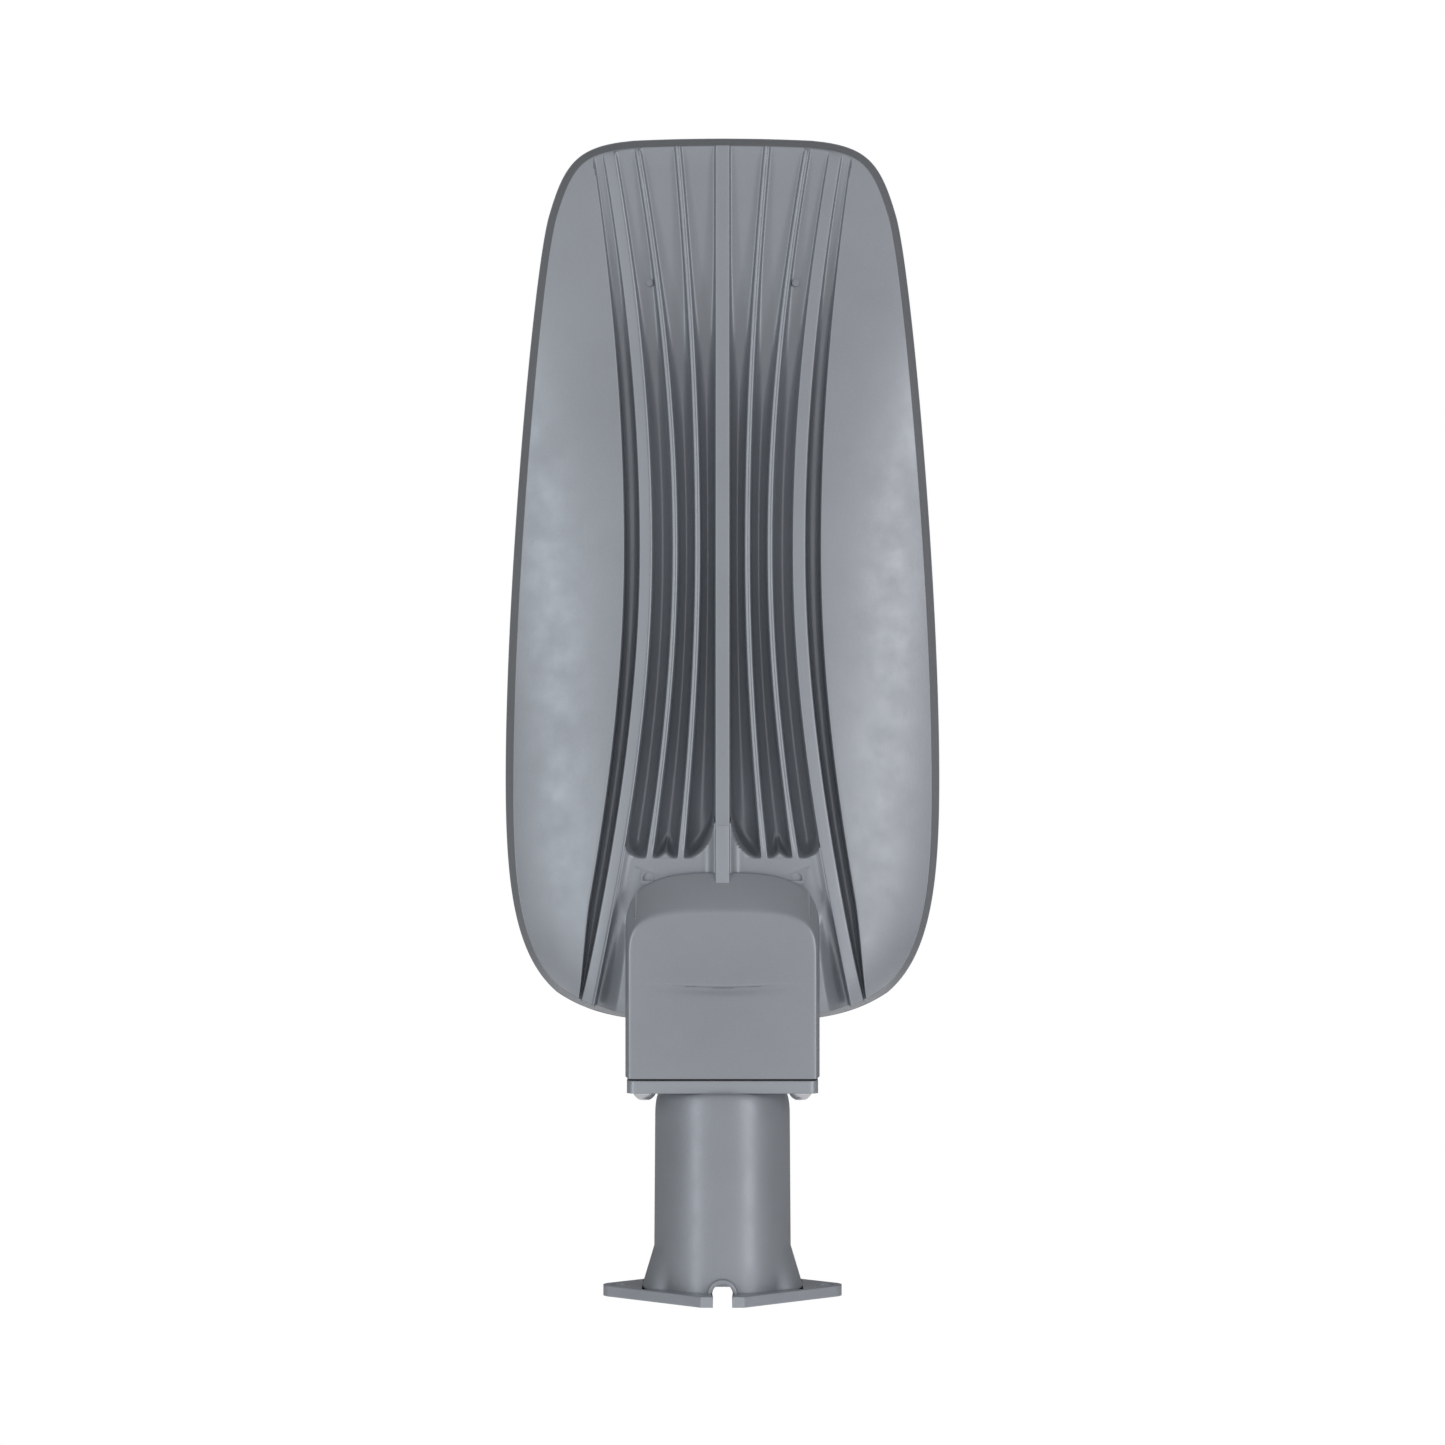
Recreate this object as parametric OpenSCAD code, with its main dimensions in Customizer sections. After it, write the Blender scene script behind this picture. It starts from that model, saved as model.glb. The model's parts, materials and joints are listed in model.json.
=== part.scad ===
// Street lamp head of a split solar lamp: a finned die-cast housing on a hollow pole spigot.
// +Z runs up the spigot axis to the tip, the finned back faces -Y and the light leaves at +Y.
// The origin is the centre of the spigot flange's mounting face. All sizes are in millimetres.

/* [Spigot] */
// Bore that slips over the end of the pole
pole_bore_d = 61; // [51:0.5:76]
// Wall of the spigot tube
spigot_wall = 4.4; // [3.5:0.1:7]
// Height of the spigot, from the flange face to the adaptor plate
spigot_l = 107; // [90:1:150]
// Depth of the pole socket inside the spigot
socket_l = 88; // [70:1:100]
// Thickness of the adaptor plate on top of the spigot
plate_t = 6.5; // [5:0.5:10]
// Thickness of the base flange
flange_t = 5.5; // [4:0.5:9]
// Distance from the tube wall to the centre of a flange hole
flange_ear = 18.5; // [15:0.5:26]
// Diameter of the two flange holes
flange_hole_d = 9; // [6:0.5:10]
// Width of the cable notch in the flange
notch_w = 10.4; // [6:0.2:16]

/* [Head] */
// Greatest width of the head
head_w = 228; // [190:1:280]
// Length of the head, from its lower rim to its tip
head_l = 462; // [385:1:560]
// Distance from the adaptor gasket to the head's lower rim
neck_l = 27; // [20:1:40]
// Depth of the head's rim, from its front edge to the finned face
skirt_h = 21; // [18:0.5:26]
// How far the rim slopes inwards
skirt_inset = 4.6; // [3:0.2:7]
// How far the finned face rises above its rim beside the bay
crown_h = 25; // [18:0.5:30]
// Level of the groove floors under the finned face's rim
floor_drop = 2.5; // [0:0.5:4]
// Width of the flat centre rib
centre_rib_w = 7.3; // [5:0.1:10]
// Width of the two wide ribs
wide_rib_w = 6.6; // [5:0.1:10]
// Width of the four thin fins at their tops
thin_fin_w = 2.6; // [2:0.1:4]

/* [Bay] */
// Width of the battery bay
bay_w = 100; // [96:1:122]
// Height of the bay above the adaptor gasket
bay_h = 105; // [103:1:126]
// Wall of the bay
bay_wall = 4.5; // [3:0.5:6]

/* [Light engine] */
// Thickness of the front glass
glass_t = 4; // [3:0.5:5]
// Thickness of the front frame
frame_t = 4; // [3:0.5:6]
// Thickness of the aluminium circuit board
board_t = 1.6; // [1:0.1:3]
// Spacing of the lenses along the head
lens_pitch_z = 28; // [24:1:32]
// Radius of one lens
lens_r = 11; // [8:0.5:12]

/* [Battery] */
// Diameter of one battery cell
cell_d = 26.2; // [21:0.1:26.6]
// Length of one battery cell
cell_l = 65.3; // [55:0.1:66]

/* [Door] */
// Thickness of the service door
door_t = 3; // [2.5:0.5:4]
// Diameter of the hinge pin
hinge_pin_d = 3; // [2.5:0.1:4]

/* [Hidden] */

$fn = 48;
cut = 1;                    // how far a cutter runs past the face that it opens
fit = 0.3;                  // gap between round pieces that must not touch
slide_fit = 0.1;            // running clearance of the push button
pin_fit = 0.05;             // running clearance of the hinge pin

grey = [0.55, 0.57, 0.60];
dark_grey = [0.30, 0.31, 0.33];
black = [0.08, 0.08, 0.09];
steel = [0.75, 0.76, 0.78];
white = [0.93, 0.93, 0.92];
green = [0.10, 0.35, 0.20];
blue = [0.10, 0.25, 0.60];

// Spigot
spigot_od = pole_bore_d + 2 * spigot_wall;
spigot_draft = 0.6;         // the tube is this much wider at its foot, on the radius
neck_r = pole_bore_d / 2 + 0.9;
shoulder_h = 13;
passage_d = 44;             // cable passage above the pole socket
plate_w = bay_w - 2;
plate_top = spigot_l + plate_t;
flange_hole_x = spigot_od / 2 + flange_ear;
flange_end_r = flange_hole_d / 2 + 3.9;
flange_apex = spigot_od / 2 + 12.5;
gusset_w = 38;
gusset_reach = 6;
gusset_top = 26;
set_screw_r = 4;
set_screw_z = [38, 70];

// Levels along Z
gasket_t = 1.2;
bay_z = plate_top + gasket_t;
head_z = bay_z + neck_l;
tip_z = head_z + head_l;
bay_top = bay_z + bay_h;

// Levels along Y: the finned back is negative, the light side is positive
bay_depth = pole_bore_d + 1;
back_y = -(bay_depth / 2 + 1);
rim_y = bay_depth / 2 - 1;
seat_y = rim_y - frame_t;                   // plane that the frame and the door sit on
face_y = rim_y - skirt_h;                   // start of the finned face at the rim
floor_y = face_y - floor_drop;
glass_seal_t = 1.6;
ledge_y = seat_y - glass_t - glass_seal_t;
pcb_seat_y = floor_y + 5.5;
crown_y = face_y - crown_h;                 // highest level of the finned face

// Head outline: half-widths and heights as shares of head_w / 2 and head_l, three curves
OUTLINE = [[0, 1], [0.62, 1], [0.70, 0.998], [0.80, 0.912], [0.87, 0.853], [1, 0.49],
           [1, 0.272], [1, 0.11], [0.93, 0.009], [bay_w / head_w, 0]];
curve_steps = 14;

// Paths of the rib centres: half-distance at the tip, at the waist and at the bay's top
waist = 0.528;              // height of the waist as a share of head_l
bend = 0.35;                // sharpness of the waist
FIN_IN = [0.21, 0.113, 0.19];
FIN_OUT = [0.40, 0.215, 0.332];
RIB_WIDE = [0.532, 0.347, 0.48];
WING = [0.605, 0.446, 0.57];
fin_foot_z = bay_top + 7;   // where the grooves between the fins end
foot_run = 13;              // length of the rounded end of a groove

// Front opening, measured inwards from the outline
rebate_in = 5;
seat_in = 17;
window_in = 23;
door_gap = 1.3;
channel_w = bay_w + 0.6;
strip_z = bay_top + 16;     // lower edge of the frame's bridge
window_z = strip_z + 28;

// Bay inside
cavity_w = bay_w - 2 * bay_wall - 1;
bay_floor = 4;
floor_z = bay_z + bay_floor;
land_z = bay_z + 10;        // top of the land under the door's lower edge
cavity_top = bay_top + 3;
screw_x = bay_w / 2 - 10;
screw_y = bay_depth / 2 - 11;
boss_r = 6;
boss_top = floor_z + 7;
earth_x = screw_x / 2 + 3;
adaptor_screw_r = 3;

// Door
door_seal_t = 1.2;
door_w = bay_w - 2;
door_z0 = bay_z + 7;
door_z1 = strip_z - door_gap - 1;
hinge_y = rim_y + 0.4;
hinge_z = bay_z + 3.3;
knuckle_r = hinge_pin_d / 2 + 1.5;
knuckle_l = 15;
latch_x = door_w / 2 - 8;
latch_z = door_z1 - 6.5;
latch_r = 2;
vent_z = hinge_z + 24;
bracket_t = hinge_y - knuckle_r - fit - seat_y;   // leaf under the turning barrels
bracket_hole_x = door_w / 2 - 3.8;
bracket_hole_z = bay_z + 2.6;

// Battery
cell_gap = 0.8;
cell_pitch = cell_d + cell_gap;
cell_y = back_y + bay_wall + 4.4 + cell_d / 2;
tray_t = 2;
tray_z = boss_top;
cell_z = tray_z + tray_t;
cap_z = cell_z + cell_l + 0.2;
holder_w = 3 * cell_pitch + 4;
tray_screw_x = screw_x + 1.5;
tray_screw_y = -screw_y - 1;
ring_h = 5;
rod_r = 1.5;
rod_offset = cell_d / 2 - 1.1;   // rods stand between the cells, before and behind their row

// Controller
pcb_t = 1.6;
pcb_y = cell_y + cell_d / 2 + 3;
pcb_w = cavity_w - 6;
pcb_z0 = cap_z + tray_t + 4.5;
pcb_z1 = latch_z - boss_r - 0.7;
pcb_hole_x = pcb_w / 2 - 4;
way_w = 8;
ways = 6;
terminal_h = 9;
terminal_z0 = pcb_z0 + 0.5;
parts_z = (terminal_z0 + terminal_h + pcb_z1) / 2;   // middle of the row above the terminals

// Cable gland
gland_r = 8;
gland_y = 2;

// Light engine
lens_pitch_x = head_w / 6;  // spacing of the lenses across the head

// Sensor strip
strip_z0 = strip_z + 2;     // pocket behind the bridge
strip_z1 = window_z - 9;
strip_mid = (strip_z0 + strip_z1) / 2;
strip_w = 92;
strip_screw_x = 12;
button_x = -30;
button_r = 4.2;
button_travel = 1.5;
barrel_r = 6;
dome_r = 7;
pipe_x = 30;

function smooth(t) = let (c = max(0, min(1, t))) c * c * (3 - 2 * c);
function mix(a, b, t) = a + (b - a) * t;

// A point on a cubic curve, and the outline as a chain of such curves
function cubic(p, t) =
    pow(1 - t, 3) * p[0] + 3 * pow(1 - t, 2) * t * p[1] + 3 * (1 - t) * t * t * p[2] + pow(t, 3) * p[3];
function outline_point(i) =
    let (k = min(2, floor(i / curve_steps)), t = i / curve_steps - k,
         p = cubic([for (j = [0:3]) OUTLINE[3 * k + j]], t))
    [p[0] * head_w / 2, head_z + p[1] * head_l];
side_steps = 3 * curve_steps;

// Outward normal of the outline, from its neighbours
function outline_normal(i) =
    let (a = outline_point(max(0, i - 0.2)), b = outline_point(min(side_steps, i + 0.2)),
         d = b - a)
    i == 0 ? [0, 1] : [-d[1], d[0]] / norm(d);
function inset_point(i, inset) = outline_point(i) - inset * outline_normal(i);

// The closed outline, moved inwards, from the bay's right side over the tip to its left side
function inset_outline(inset) =
    let (half = [for (i = [side_steps:-1:0]) inset_point(i, inset)])
    concat(half, [for (i = [1:side_steps]) let (p = inset_point(i, inset)) [-p[0], p[1]]]);

// Half-distance of a rib from the centre line at height z
function path(p, z) =
    let (u = (z - head_z) / head_l - waist,
         span = u > 0 ? 1 - waist : waist - (fin_foot_z - head_z) / head_l,
         reach = u > 0 ? p[0] : p[2],
         g = (sqrt(1 + pow(bend * 2 * u / span, 2)) - 1) / (sqrt(1 + pow(2 * bend, 2)) - 1))
    head_w / 2 * (p[1] + (reach - p[1]) * g);

// How far the finned face rises above its rim on the centre line
function lift(z) =
    let (t = (tip_z - z) / head_l)
    mix(floor_drop, crown_h * 0.72, smooth(t / 0.5)) + crown_h * 0.28 * smooth((t - 0.3) / 0.5);
function crown(x, z, half) = face_y - lift(z) * (1 - pow(min(1, abs(x) / half), 2.4));

// Depth of the grooves between the fins, and of the grooves beside the wide ribs
function groove_end(z) =
    let (t = max(0, min(1, (z - fin_foot_z) / foot_run))) sqrt(1 - pow(1 - t, 2));
function pocket_end(z) = smooth((fin_foot_z - z) / 22);

// One row of the finned face, from the centre to the rim: [x, share of the groove's depth]
function half_row(z, half, inner, pocket) =
    let (c = centre_rib_w / 2, f = thin_fin_w / 2, w = wide_rib_w / 2, s = 1.6,
         a = path(FIN_IN, z), b = path(FIN_OUT, z), r = path(RIB_WIDE, z), e = path(WING, z),
         raw = [[0, 0], [c, 0], [c + s, inner], [a - f - s, inner], [a - f, 0], [a + f, 0],
                [a + f + s, inner], [b - f - s, inner], [b - f, 0], [b + f, 0],
                [min(mix(b + f + s, bay_w / 2 + 1, smooth(3 * pocket)), r - w - s - 0.3), max(inner, pocket)],
                [r - w - s, max(inner, pocket)], [r - w, 0],
                [r + w, 0], [r + w + s, 1], [e - s, 1], [e, 0],
                [mix(e, half, 0.3), 0], [mix(e, half, 0.65), 0], [half, 0]],
         n = len(raw) - 1)
    [for (i = [0:n]) [min(raw[i][0], half - 0.25 * (n - i)), raw[i][1]]];

// Rows follow the outline's side; those near its ends bow out to meet the curved tip and foot
first_row = 4;
last_row = side_steps - 4;
foot_rows = [0, 0.15, 0.4, 0.8];
row_list = [for (i = [last_row:-1:first_row]) let (p = inset_point(i, skirt_inset)) [p[1], p[0]]];
low_row = row_list[0];
high_row = row_list[len(row_list) - 1];
foot_reach = (low_row[0] - head_z - skirt_inset) / (1 - pow(bay_w / 2 / low_row[1], 4));

function tip_bow(z, u) =
    smooth((z - high_row[0] + 30) / 30) * (tip_z - skirt_inset - high_row[0]) * (1 - u * u);
function foot_bow(z, u) = smooth((low_row[0] + 45 - z) / 45) * foot_reach * (1 - pow(u, 4));

// Rows of full points [x, y, z], with extra rows where the grooves end
function half_at(z) = lookup(z, [for (r = row_list) [r[0], r[1]]]);
extra_rows = [for (t = foot_rows) fin_foot_z + t * foot_run];
row_heights = let (base = [for (r = row_list) if (min([for (e = extra_rows) abs(e - r[0])]) > 1.5) r[0]],
                   low = [for (z = base) if (z < fin_foot_z) z],
                   high = [for (z = base) if (z > extra_rows[3]) z])
    concat(low, extra_rows, high);

function full_row(z) =
    let (half = half_at(z), inner = z <= fin_foot_z ? 0 : groove_end(z),
         row = half_row(z, half, inner, pocket_end(z)),
         pts = [for (p = row)
                let (y0 = crown(p[0], z, half))
                [p[0], mix(y0, max(y0, floor_y), p[1]),
                 z + tip_bow(z, p[0] / half) - foot_bow(z, p[0] / half)]],
         n = len(pts) - 1)
    concat([for (i = [n:-1:1]) [-pts[i][0], pts[i][1], pts[i][2]]], pts);

// The solid head: finned face, sloping rim and flat front
module head_block() {
    rows = [for (z = row_heights) full_row(z)];
    nr = len(rows);
    nc = len(rows[0]);
    grid = [for (r = rows) each r];
    ring = concat([for (c = [0:nc - 1]) c],
                  [for (r = [1:nr - 1]) r * nc + nc - 1],
                  [for (c = [nc - 2:-1:0]) (nr - 1) * nc + c],
                  [for (r = [nr - 2:-1:1]) r * nc]);
    m = len(ring);
    front = [for (k = [0:m - 1])
             let (a = grid[ring[(k + m - 1) % m]], b = grid[ring[(k + 1) % m]],
                  d = [b[0] - a[0], b[2] - a[2]], n = [d[1], -d[0]] / norm(d), p = grid[ring[k]])
             [p[0] + n[0] * skirt_inset, rim_y, p[2] + n[1] * skirt_inset]];
    base = len(grid);
    faces = concat(
        [for (r = [0:nr - 2], c = [0:nc - 2], h = [0:1])
            let (i = r * nc + c)
            h == 0 ? [i, i + nc, i + nc + 1] : [i, i + nc + 1, i + 1]],
        [for (k = [0:m - 1], h = [0:1])
            let (k2 = (k + 1) % m)
            h == 0 ? [ring[k], ring[k2], base + k2] : [ring[k], base + k2, base + k]],
        [[for (k = [0:m - 1]) base + k]]);
    polyhedron(concat(grid, front), faces, convexity = 12);
}

// A plate cut to the head's outline, between two levels of Y
module outline_plate(inset, y0, y1) {
    translate([0, y1, 0])
        rotate([90, 0, 0])
            linear_extrude(y1 - y0)
                polygon(inset_outline(inset));
}

// The same plate, kept above a height
module window_plate(inset, z0, y0, y1) {
    intersection() {
        outline_plate(inset, y0, y1);
        translate([-head_w / 2, y0 - cut, z0])
            cube([head_w, y1 - y0 + 2 * cut, head_l + neck_l]);
    }
}

module rod_y(r, y0, y1) {
    translate([0, y0, 0])
        rotate([-90, 0, 0])
            cylinder(r = r, h = y1 - y0);
}

module block(x0, x1, y0, y1, z0, z1) {
    translate([x0, y0, z0])
        cube([x1 - x0, y1 - y0, z1 - z0]);
}

module mirror_x() {
    children();
    mirror([1, 0, 0])
        children();
}

// Round-headed screw along +Z: its head hangs below z = 0 and has a hexagon socket
module pan_screw(r, l) {
    head_h = 1.5 * r;
    ball_r = (4 * r * r + head_h * head_h) / (2 * head_h);
    cylinder(r = r, h = l);
    difference() {
        intersection() {
            translate([0, 0, ball_r - head_h])
                sphere(ball_r);
            translate([0, 0, -head_h])
                cylinder(r = 2 * r, h = head_h);
        }
        translate([0, 0, -head_h - cut])
            cylinder(r = 0.95 * r, h = cut + 0.8 * r, $fn = 6);
    }
}

// The same screw pointing along -Y, its head on the light side
module face_screw(r, l) {
    rotate([90, 0, 0])
        pan_screw(r, l);
}

// Places of the frame screws, on a line just inside the rim
frame_screw_steps = [6.5, 15.5, 20, 24.5, 29.5, 34.5];
function frame_screw_spot(i) = inset_point(i, (rebate_in + seat_in) / 2);
module at_frame_screws() {
    for (i = frame_screw_steps) {
        p = frame_screw_spot(i);
        mirror_x()
            translate([p[0], 0, p[1]])
                children();
    }
}

// Places of the lenses
lens_cols = [-1.5, -0.5, 0.5, 1.5];
lens_z0 = window_z + 24;
lens_rows = floor((tip_z - window_in - 34 - lens_z0) / lens_pitch_z);
module at_lenses() {
    for (c = lens_cols, r = [0:lens_rows])
        translate([c * lens_pitch_x, 0, lens_z0 + r * lens_pitch_z])
            children();
}

// Places of the adaptor screws
module at_adaptor_screws() {
    for (x = [-screw_x, screw_x], y = [-screw_y, screw_y])
        translate([x, y, 0])
            children();
}

// A round lead along a list of points: rings of eight corners, square to the path.
// The path never runs along the direction side.
function lead_ring(p, d, r, side) =
    let (t = d / norm(d), u = cross(side, t) / norm(cross(side, t)), v = cross(t, u))
    [for (k = [0:7]) p + r * (cos(45 * k) * u + sin(45 * k) * v)];
module lead(pts, r, side = [1, 0, 0]) {
    n = len(pts);
    rings = [for (i = [0:n - 1])
             lead_ring(pts[i], pts[min(n - 1, i + 1)] - pts[max(0, i - 1)], r, side)];
    faces = concat(
        [[for (k = [0:7]) k]],
        [for (i = [0:n - 2], k = [0:7])
            let (k2 = (k + 1) % 8, a = i * 8)
            [a + k, a + 8 + k, a + 8 + k2, a + k2]],
        [[for (k = [7:-1:0]) (n - 1) * 8 + k]]);
    polyhedron([for (r = rings) each r], faces, convexity = 4);
}

// ---------------------------------------------------------------- spigot

// Socket tube with its flange, open at both ends
module spigot_adaptor() {
    foot_r = spigot_od / 2 + spigot_draft;
    notch_r = notch_w / 2;
    color(grey)
        difference() {
            union() {
                cylinder(r1 = foot_r, r2 = spigot_od / 2, h = socket_l);
                base_flange();
                side_gussets(foot_r);
                translate([0, -foot_r - 8, 0])
                    rotate([-90, 0, 0])
                        cylinder(r = notch_r + 2.6, h = 14);
                for (z = set_screw_z)
                    translate([0, spigot_od / 2 - 3, z])
                        rotate([-90, 0, 0])
                            cylinder(r1 = 9, r2 = 7.5, h = 8);
            }
            translate([0, 0, -cut])
                cylinder(d = pole_bore_d, h = socket_l + 2 * cut);
            mirror_x()
                translate([flange_hole_x, 0, -cut])
                    cylinder(d = flange_hole_d, h = flange_t + 2 * cut);
            for (z = set_screw_z)
                translate([0, 0, z])
                    rod_y(set_screw_r + fit, spigot_wall, spigot_od);
            translate([0, 0, notch_r])
                rod_y(notch_r, -flange_apex - cut, -pole_bore_d / 4);
            block(-notch_r + 0.3, notch_r - 0.3, -flange_apex - cut, -pole_bore_d / 4, -10, notch_r);
            translate([0, 0, -10])
                cylinder(r = flange_hole_x * 2, h = 10);
        }
}

// Top plate with its neck, which is welded on the tube and stops the pole
module adaptor_plate() {
    tube_top = spigot_l - shoulder_h;
    color(grey)
        difference() {
            union() {
                translate([0, 0, socket_l])
                    cylinder(r = spigot_od / 2, h = tube_top - socket_l);
                translate([0, 0, tube_top])
                    cylinder(r1 = spigot_od / 2, r2 = spigot_od / 2 - 0.9, h = shoulder_h / 2);
                translate([0, 0, tube_top + shoulder_h / 2])
                    cylinder(r1 = spigot_od / 2 - 0.9, r2 = neck_r, h = shoulder_h / 2);
                translate([0, 0, spigot_l])
                    rounded_plate(plate_w, bay_depth - 2, plate_t, 5);
            }
            translate([0, 0, socket_l - cut])
                cylinder(d = passage_d, h = plate_top - socket_l + 2 * cut);
            at_adaptor_screws()
                translate([0, 0, spigot_l - cut])
                    cylinder(r = adaptor_screw_r + fit, h = plate_t + 2 * cut);
        }
}

// Lozenge plan: straight sides that touch the round ends, with a blunt apex front and back
module base_flange() {
    slope = atan2(flange_apex - flange_end_r, flange_hole_x);
    tip_x = flange_hole_x + flange_end_r * sin(slope);
    tip_y = flange_end_r * cos(slope);
    apex_x = 11;
    linear_extrude(flange_t)
        union() {
            mirror_x()
                translate([flange_hole_x, 0])
                    circle(flange_end_r);
            polygon([[tip_x, tip_y], [apex_x, flange_apex], [-apex_x, flange_apex], [-tip_x, tip_y],
                     [-tip_x, -tip_y], [-apex_x, -flange_apex], [apex_x, -flange_apex],
                     [tip_x, -tip_y]]);
        }
}

// Wedges that brace the tube on the flange's long sides
module side_gussets(r) {
    mirror_x()
        translate([0, gusset_w / 2, 0])
            rotate([90, 0, 0])
                linear_extrude(gusset_w)
                    polygon([[r - 8, 0], [r + gusset_reach, 0], [r + gusset_reach, flange_t + 2.5],
                             [r - 0.5, gusset_top], [r - 8, gusset_top]]);
}

module rounded_plate(w, d, t, r) {
    translate([0, 0, t / 2]) {
        cube([w - 2 * r, d, t], center = true);
        cube([w, d - 2 * r, t], center = true);
    }
    for (x = [r - w / 2, w / 2 - r], y = [r - d / 2, d / 2 - r])
        translate([x, y, 0])
            cylinder(r = r, h = t);
}

module adaptor_gasket() {
    color(black)
        difference() {
            translate([0, 0, plate_top])
                rounded_plate(plate_w - 2, bay_depth - 4, gasket_t, 5);
            cylinder(d = passage_d + 2, h = bay_z + cut);
            at_adaptor_screws()
                cylinder(r = adaptor_screw_r + fit, h = bay_z + cut);
        }
}

module adaptor_screws() {
    color(steel)
        at_adaptor_screws()
            translate([0, 0, spigot_l])
                pan_screw(adaptor_screw_r, plate_t + gasket_t + 8);
}

module pole_set_screws() {
    color(steel)
        for (z = set_screw_z)
            translate([0, 0, z])
                difference() {
                    rod_y(set_screw_r, pole_bore_d / 2 + 1, spigot_od / 2 + 9);
                    translate([0, spigot_od / 2 + 4, 0])
                        rotate([-90, 0, 0])
                            cylinder(r = 2.3, h = 6, $fn = 6);
                }
}

// ---------------------------------------------------------------- housing

// Shape of the bay's front, seen from the front: straight sides and a rounded top
module bay_arch(w, top, r, y0, y1) {
    translate([0, y1, 0])
        rotate([90, 0, 0])
            linear_extrude(y1 - y0)
                union() {
                    translate([-w / 2, bay_z])
                        square([w, top - r - bay_z]);
                    translate([r - w / 2, top - r - 1])
                        square([w - 2 * r, r + 1]);
                    for (x = [r - w / 2, w / 2 - r])
                        translate([x, top - r])
                            circle(r);
                }
}

module bay_block() {
    block(-bay_w / 2, bay_w / 2, 0, seat_y, bay_z, head_z + 10);
    hull() {
        bay_arch(bay_w, bay_top, 26, floor_y - 1, floor_y);
        bay_arch(bay_w, bay_top, 26, crown_y, crown_y + 1);
        bay_arch(bay_w - 4, bay_top - 18, 20, back_y + 4, back_y + 4.5);
        block(-bay_w / 2 + 2, bay_w / 2 - 2, back_y, back_y + 1, bay_z, bay_z + 51);
    }
}

module bay_cavity() {
    inner_y = back_y + bay_wall;
    translate([-cavity_w / 2, 0, 0])
        rotate([90, 0, 90])
            linear_extrude(cavity_w)
                polygon([[inner_y, floor_z], [inner_y, floor_z + 48], [inner_y + 2.6, bay_top - 23],
                         [crown_y + 3.5, bay_top - 6], [crown_y + 6.5, cavity_top],
                         [seat_y + cut, cavity_top], [seat_y + cut, land_z],
                         [screw_y, land_z], [screw_y - 5, floor_z]]);
}

module housing_bosses() {
    at_adaptor_screws()
        translate([0, 0, floor_z - 2])
            cylinder(r = boss_r, h = boss_top - floor_z + 2);
    mirror_x()
        translate([latch_x, 0, latch_z])
            rod_y(boss_r, 0, seat_y);
    mirror_x()
        for (p = [[pcb_z0 + 4, back_y + 10], [pcb_z1 - 4, crown_y + 4]])
            translate([pcb_hole_x, 0, p[0]])
                rod_y(3.2, p[1], pcb_y);
    translate([earth_x, screw_y, land_z - 1])
        cylinder(r = 4, h = 5);
}

module housing_holes() {
    at_adaptor_screws()
        translate([0, 0, bay_z - cut])
            cylinder(r = adaptor_screw_r + fit, h = 10);
    at_frame_screws()
        rod_y(2 + fit, seat_y - 10, seat_y + cut);
    mirror_x()
        translate([latch_x, 0, latch_z])
            rod_y(latch_r + 0.9, seat_y - 8, seat_y + cut);
    mirror_x()
        for (z = [pcb_z0 + 4, pcb_z1 - 4])
            translate([pcb_hole_x, 0, z])
                rod_y(1.5 + fit, pcb_y - 6, pcb_y + cut);
    mirror_x()
        translate([tray_screw_x, tray_screw_y, boss_top - 5])
            cylinder(r = 1.5 + fit, h = 6);
    translate([earth_x, screw_y, land_z - 4])
        cylinder(r = 2 + fit, h = 9);
    mirror_x()
        translate([bracket_hole_x, 0, bracket_hole_z])
            rod_y(1.2 + fit, seat_y - 7, seat_y + cut);
    translate([0, gland_y, bay_z - cut])
        cylinder(r = gland_r + fit, h = bay_floor + 2 * cut);
    at_board_screws()
        rod_y(1.5 + fit, pcb_seat_y - 3.5, pcb_seat_y + cut);
    at_strip_screws()
        rod_y(1.2 + fit, pcb_seat_y - 4, pcb_seat_y + cut);
    translate([button_x + 12, pcb_seat_y + 6, cavity_top - 5])
        cylinder(r = 4, h = window_z - cavity_top + 12);
}

module housing() {
    color(grey)
        difference() {
            union() {
                difference() {
                    head_block();
                    outline_plate(rebate_in, seat_y, rim_y + cut);
                    block(-channel_w / 2, channel_w / 2, seat_y, rim_y + cut, 0, strip_z);
                    bay_cavity();
                }
                difference() {
                    bay_block();
                    bay_cavity();
                }
                housing_bosses();
            }
            window_plate(seat_in, window_z - 6, ledge_y, seat_y + cut);
            window_plate(window_in, window_z, pcb_seat_y, seat_y);
            block(-strip_w / 2, strip_w / 2, pcb_seat_y, seat_y + cut, strip_z0, strip_z1);
            mirror_x()
                intersection() {
                    outline_plate(window_in - 8, pcb_seat_y + 3, seat_y + cut);
                    block(bay_w / 2 + 6, head_w, 0, seat_y + cut, head_z + 8, window_z - 12);
                }
            housing_holes();
        }
}

// ---------------------------------------------------------------- light engine

module front_frame() {
    color(dark_grey)
        difference() {
            outline_plate(rebate_in + fit, seat_y, rim_y);
            window_plate(window_in, window_z, seat_y - cut, rim_y + cut);
            block(-channel_w / 2, channel_w / 2, seat_y - cut, rim_y + cut, 0, strip_z);
            at_frame_screws()
                rod_y(2 + fit, seat_y - cut, rim_y + cut);
            translate([button_x, 0, strip_mid])
                rod_y(barrel_r + pin_fit, seat_y - cut, rim_y + cut);
            translate([0, 0, strip_mid])
                rod_y(dome_r + fit, seat_y - cut, rim_y + cut);
            translate([pipe_x, 0, strip_mid])
                rod_y(2.5 + fit, seat_y - cut, rim_y + cut);
        }
}

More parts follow.
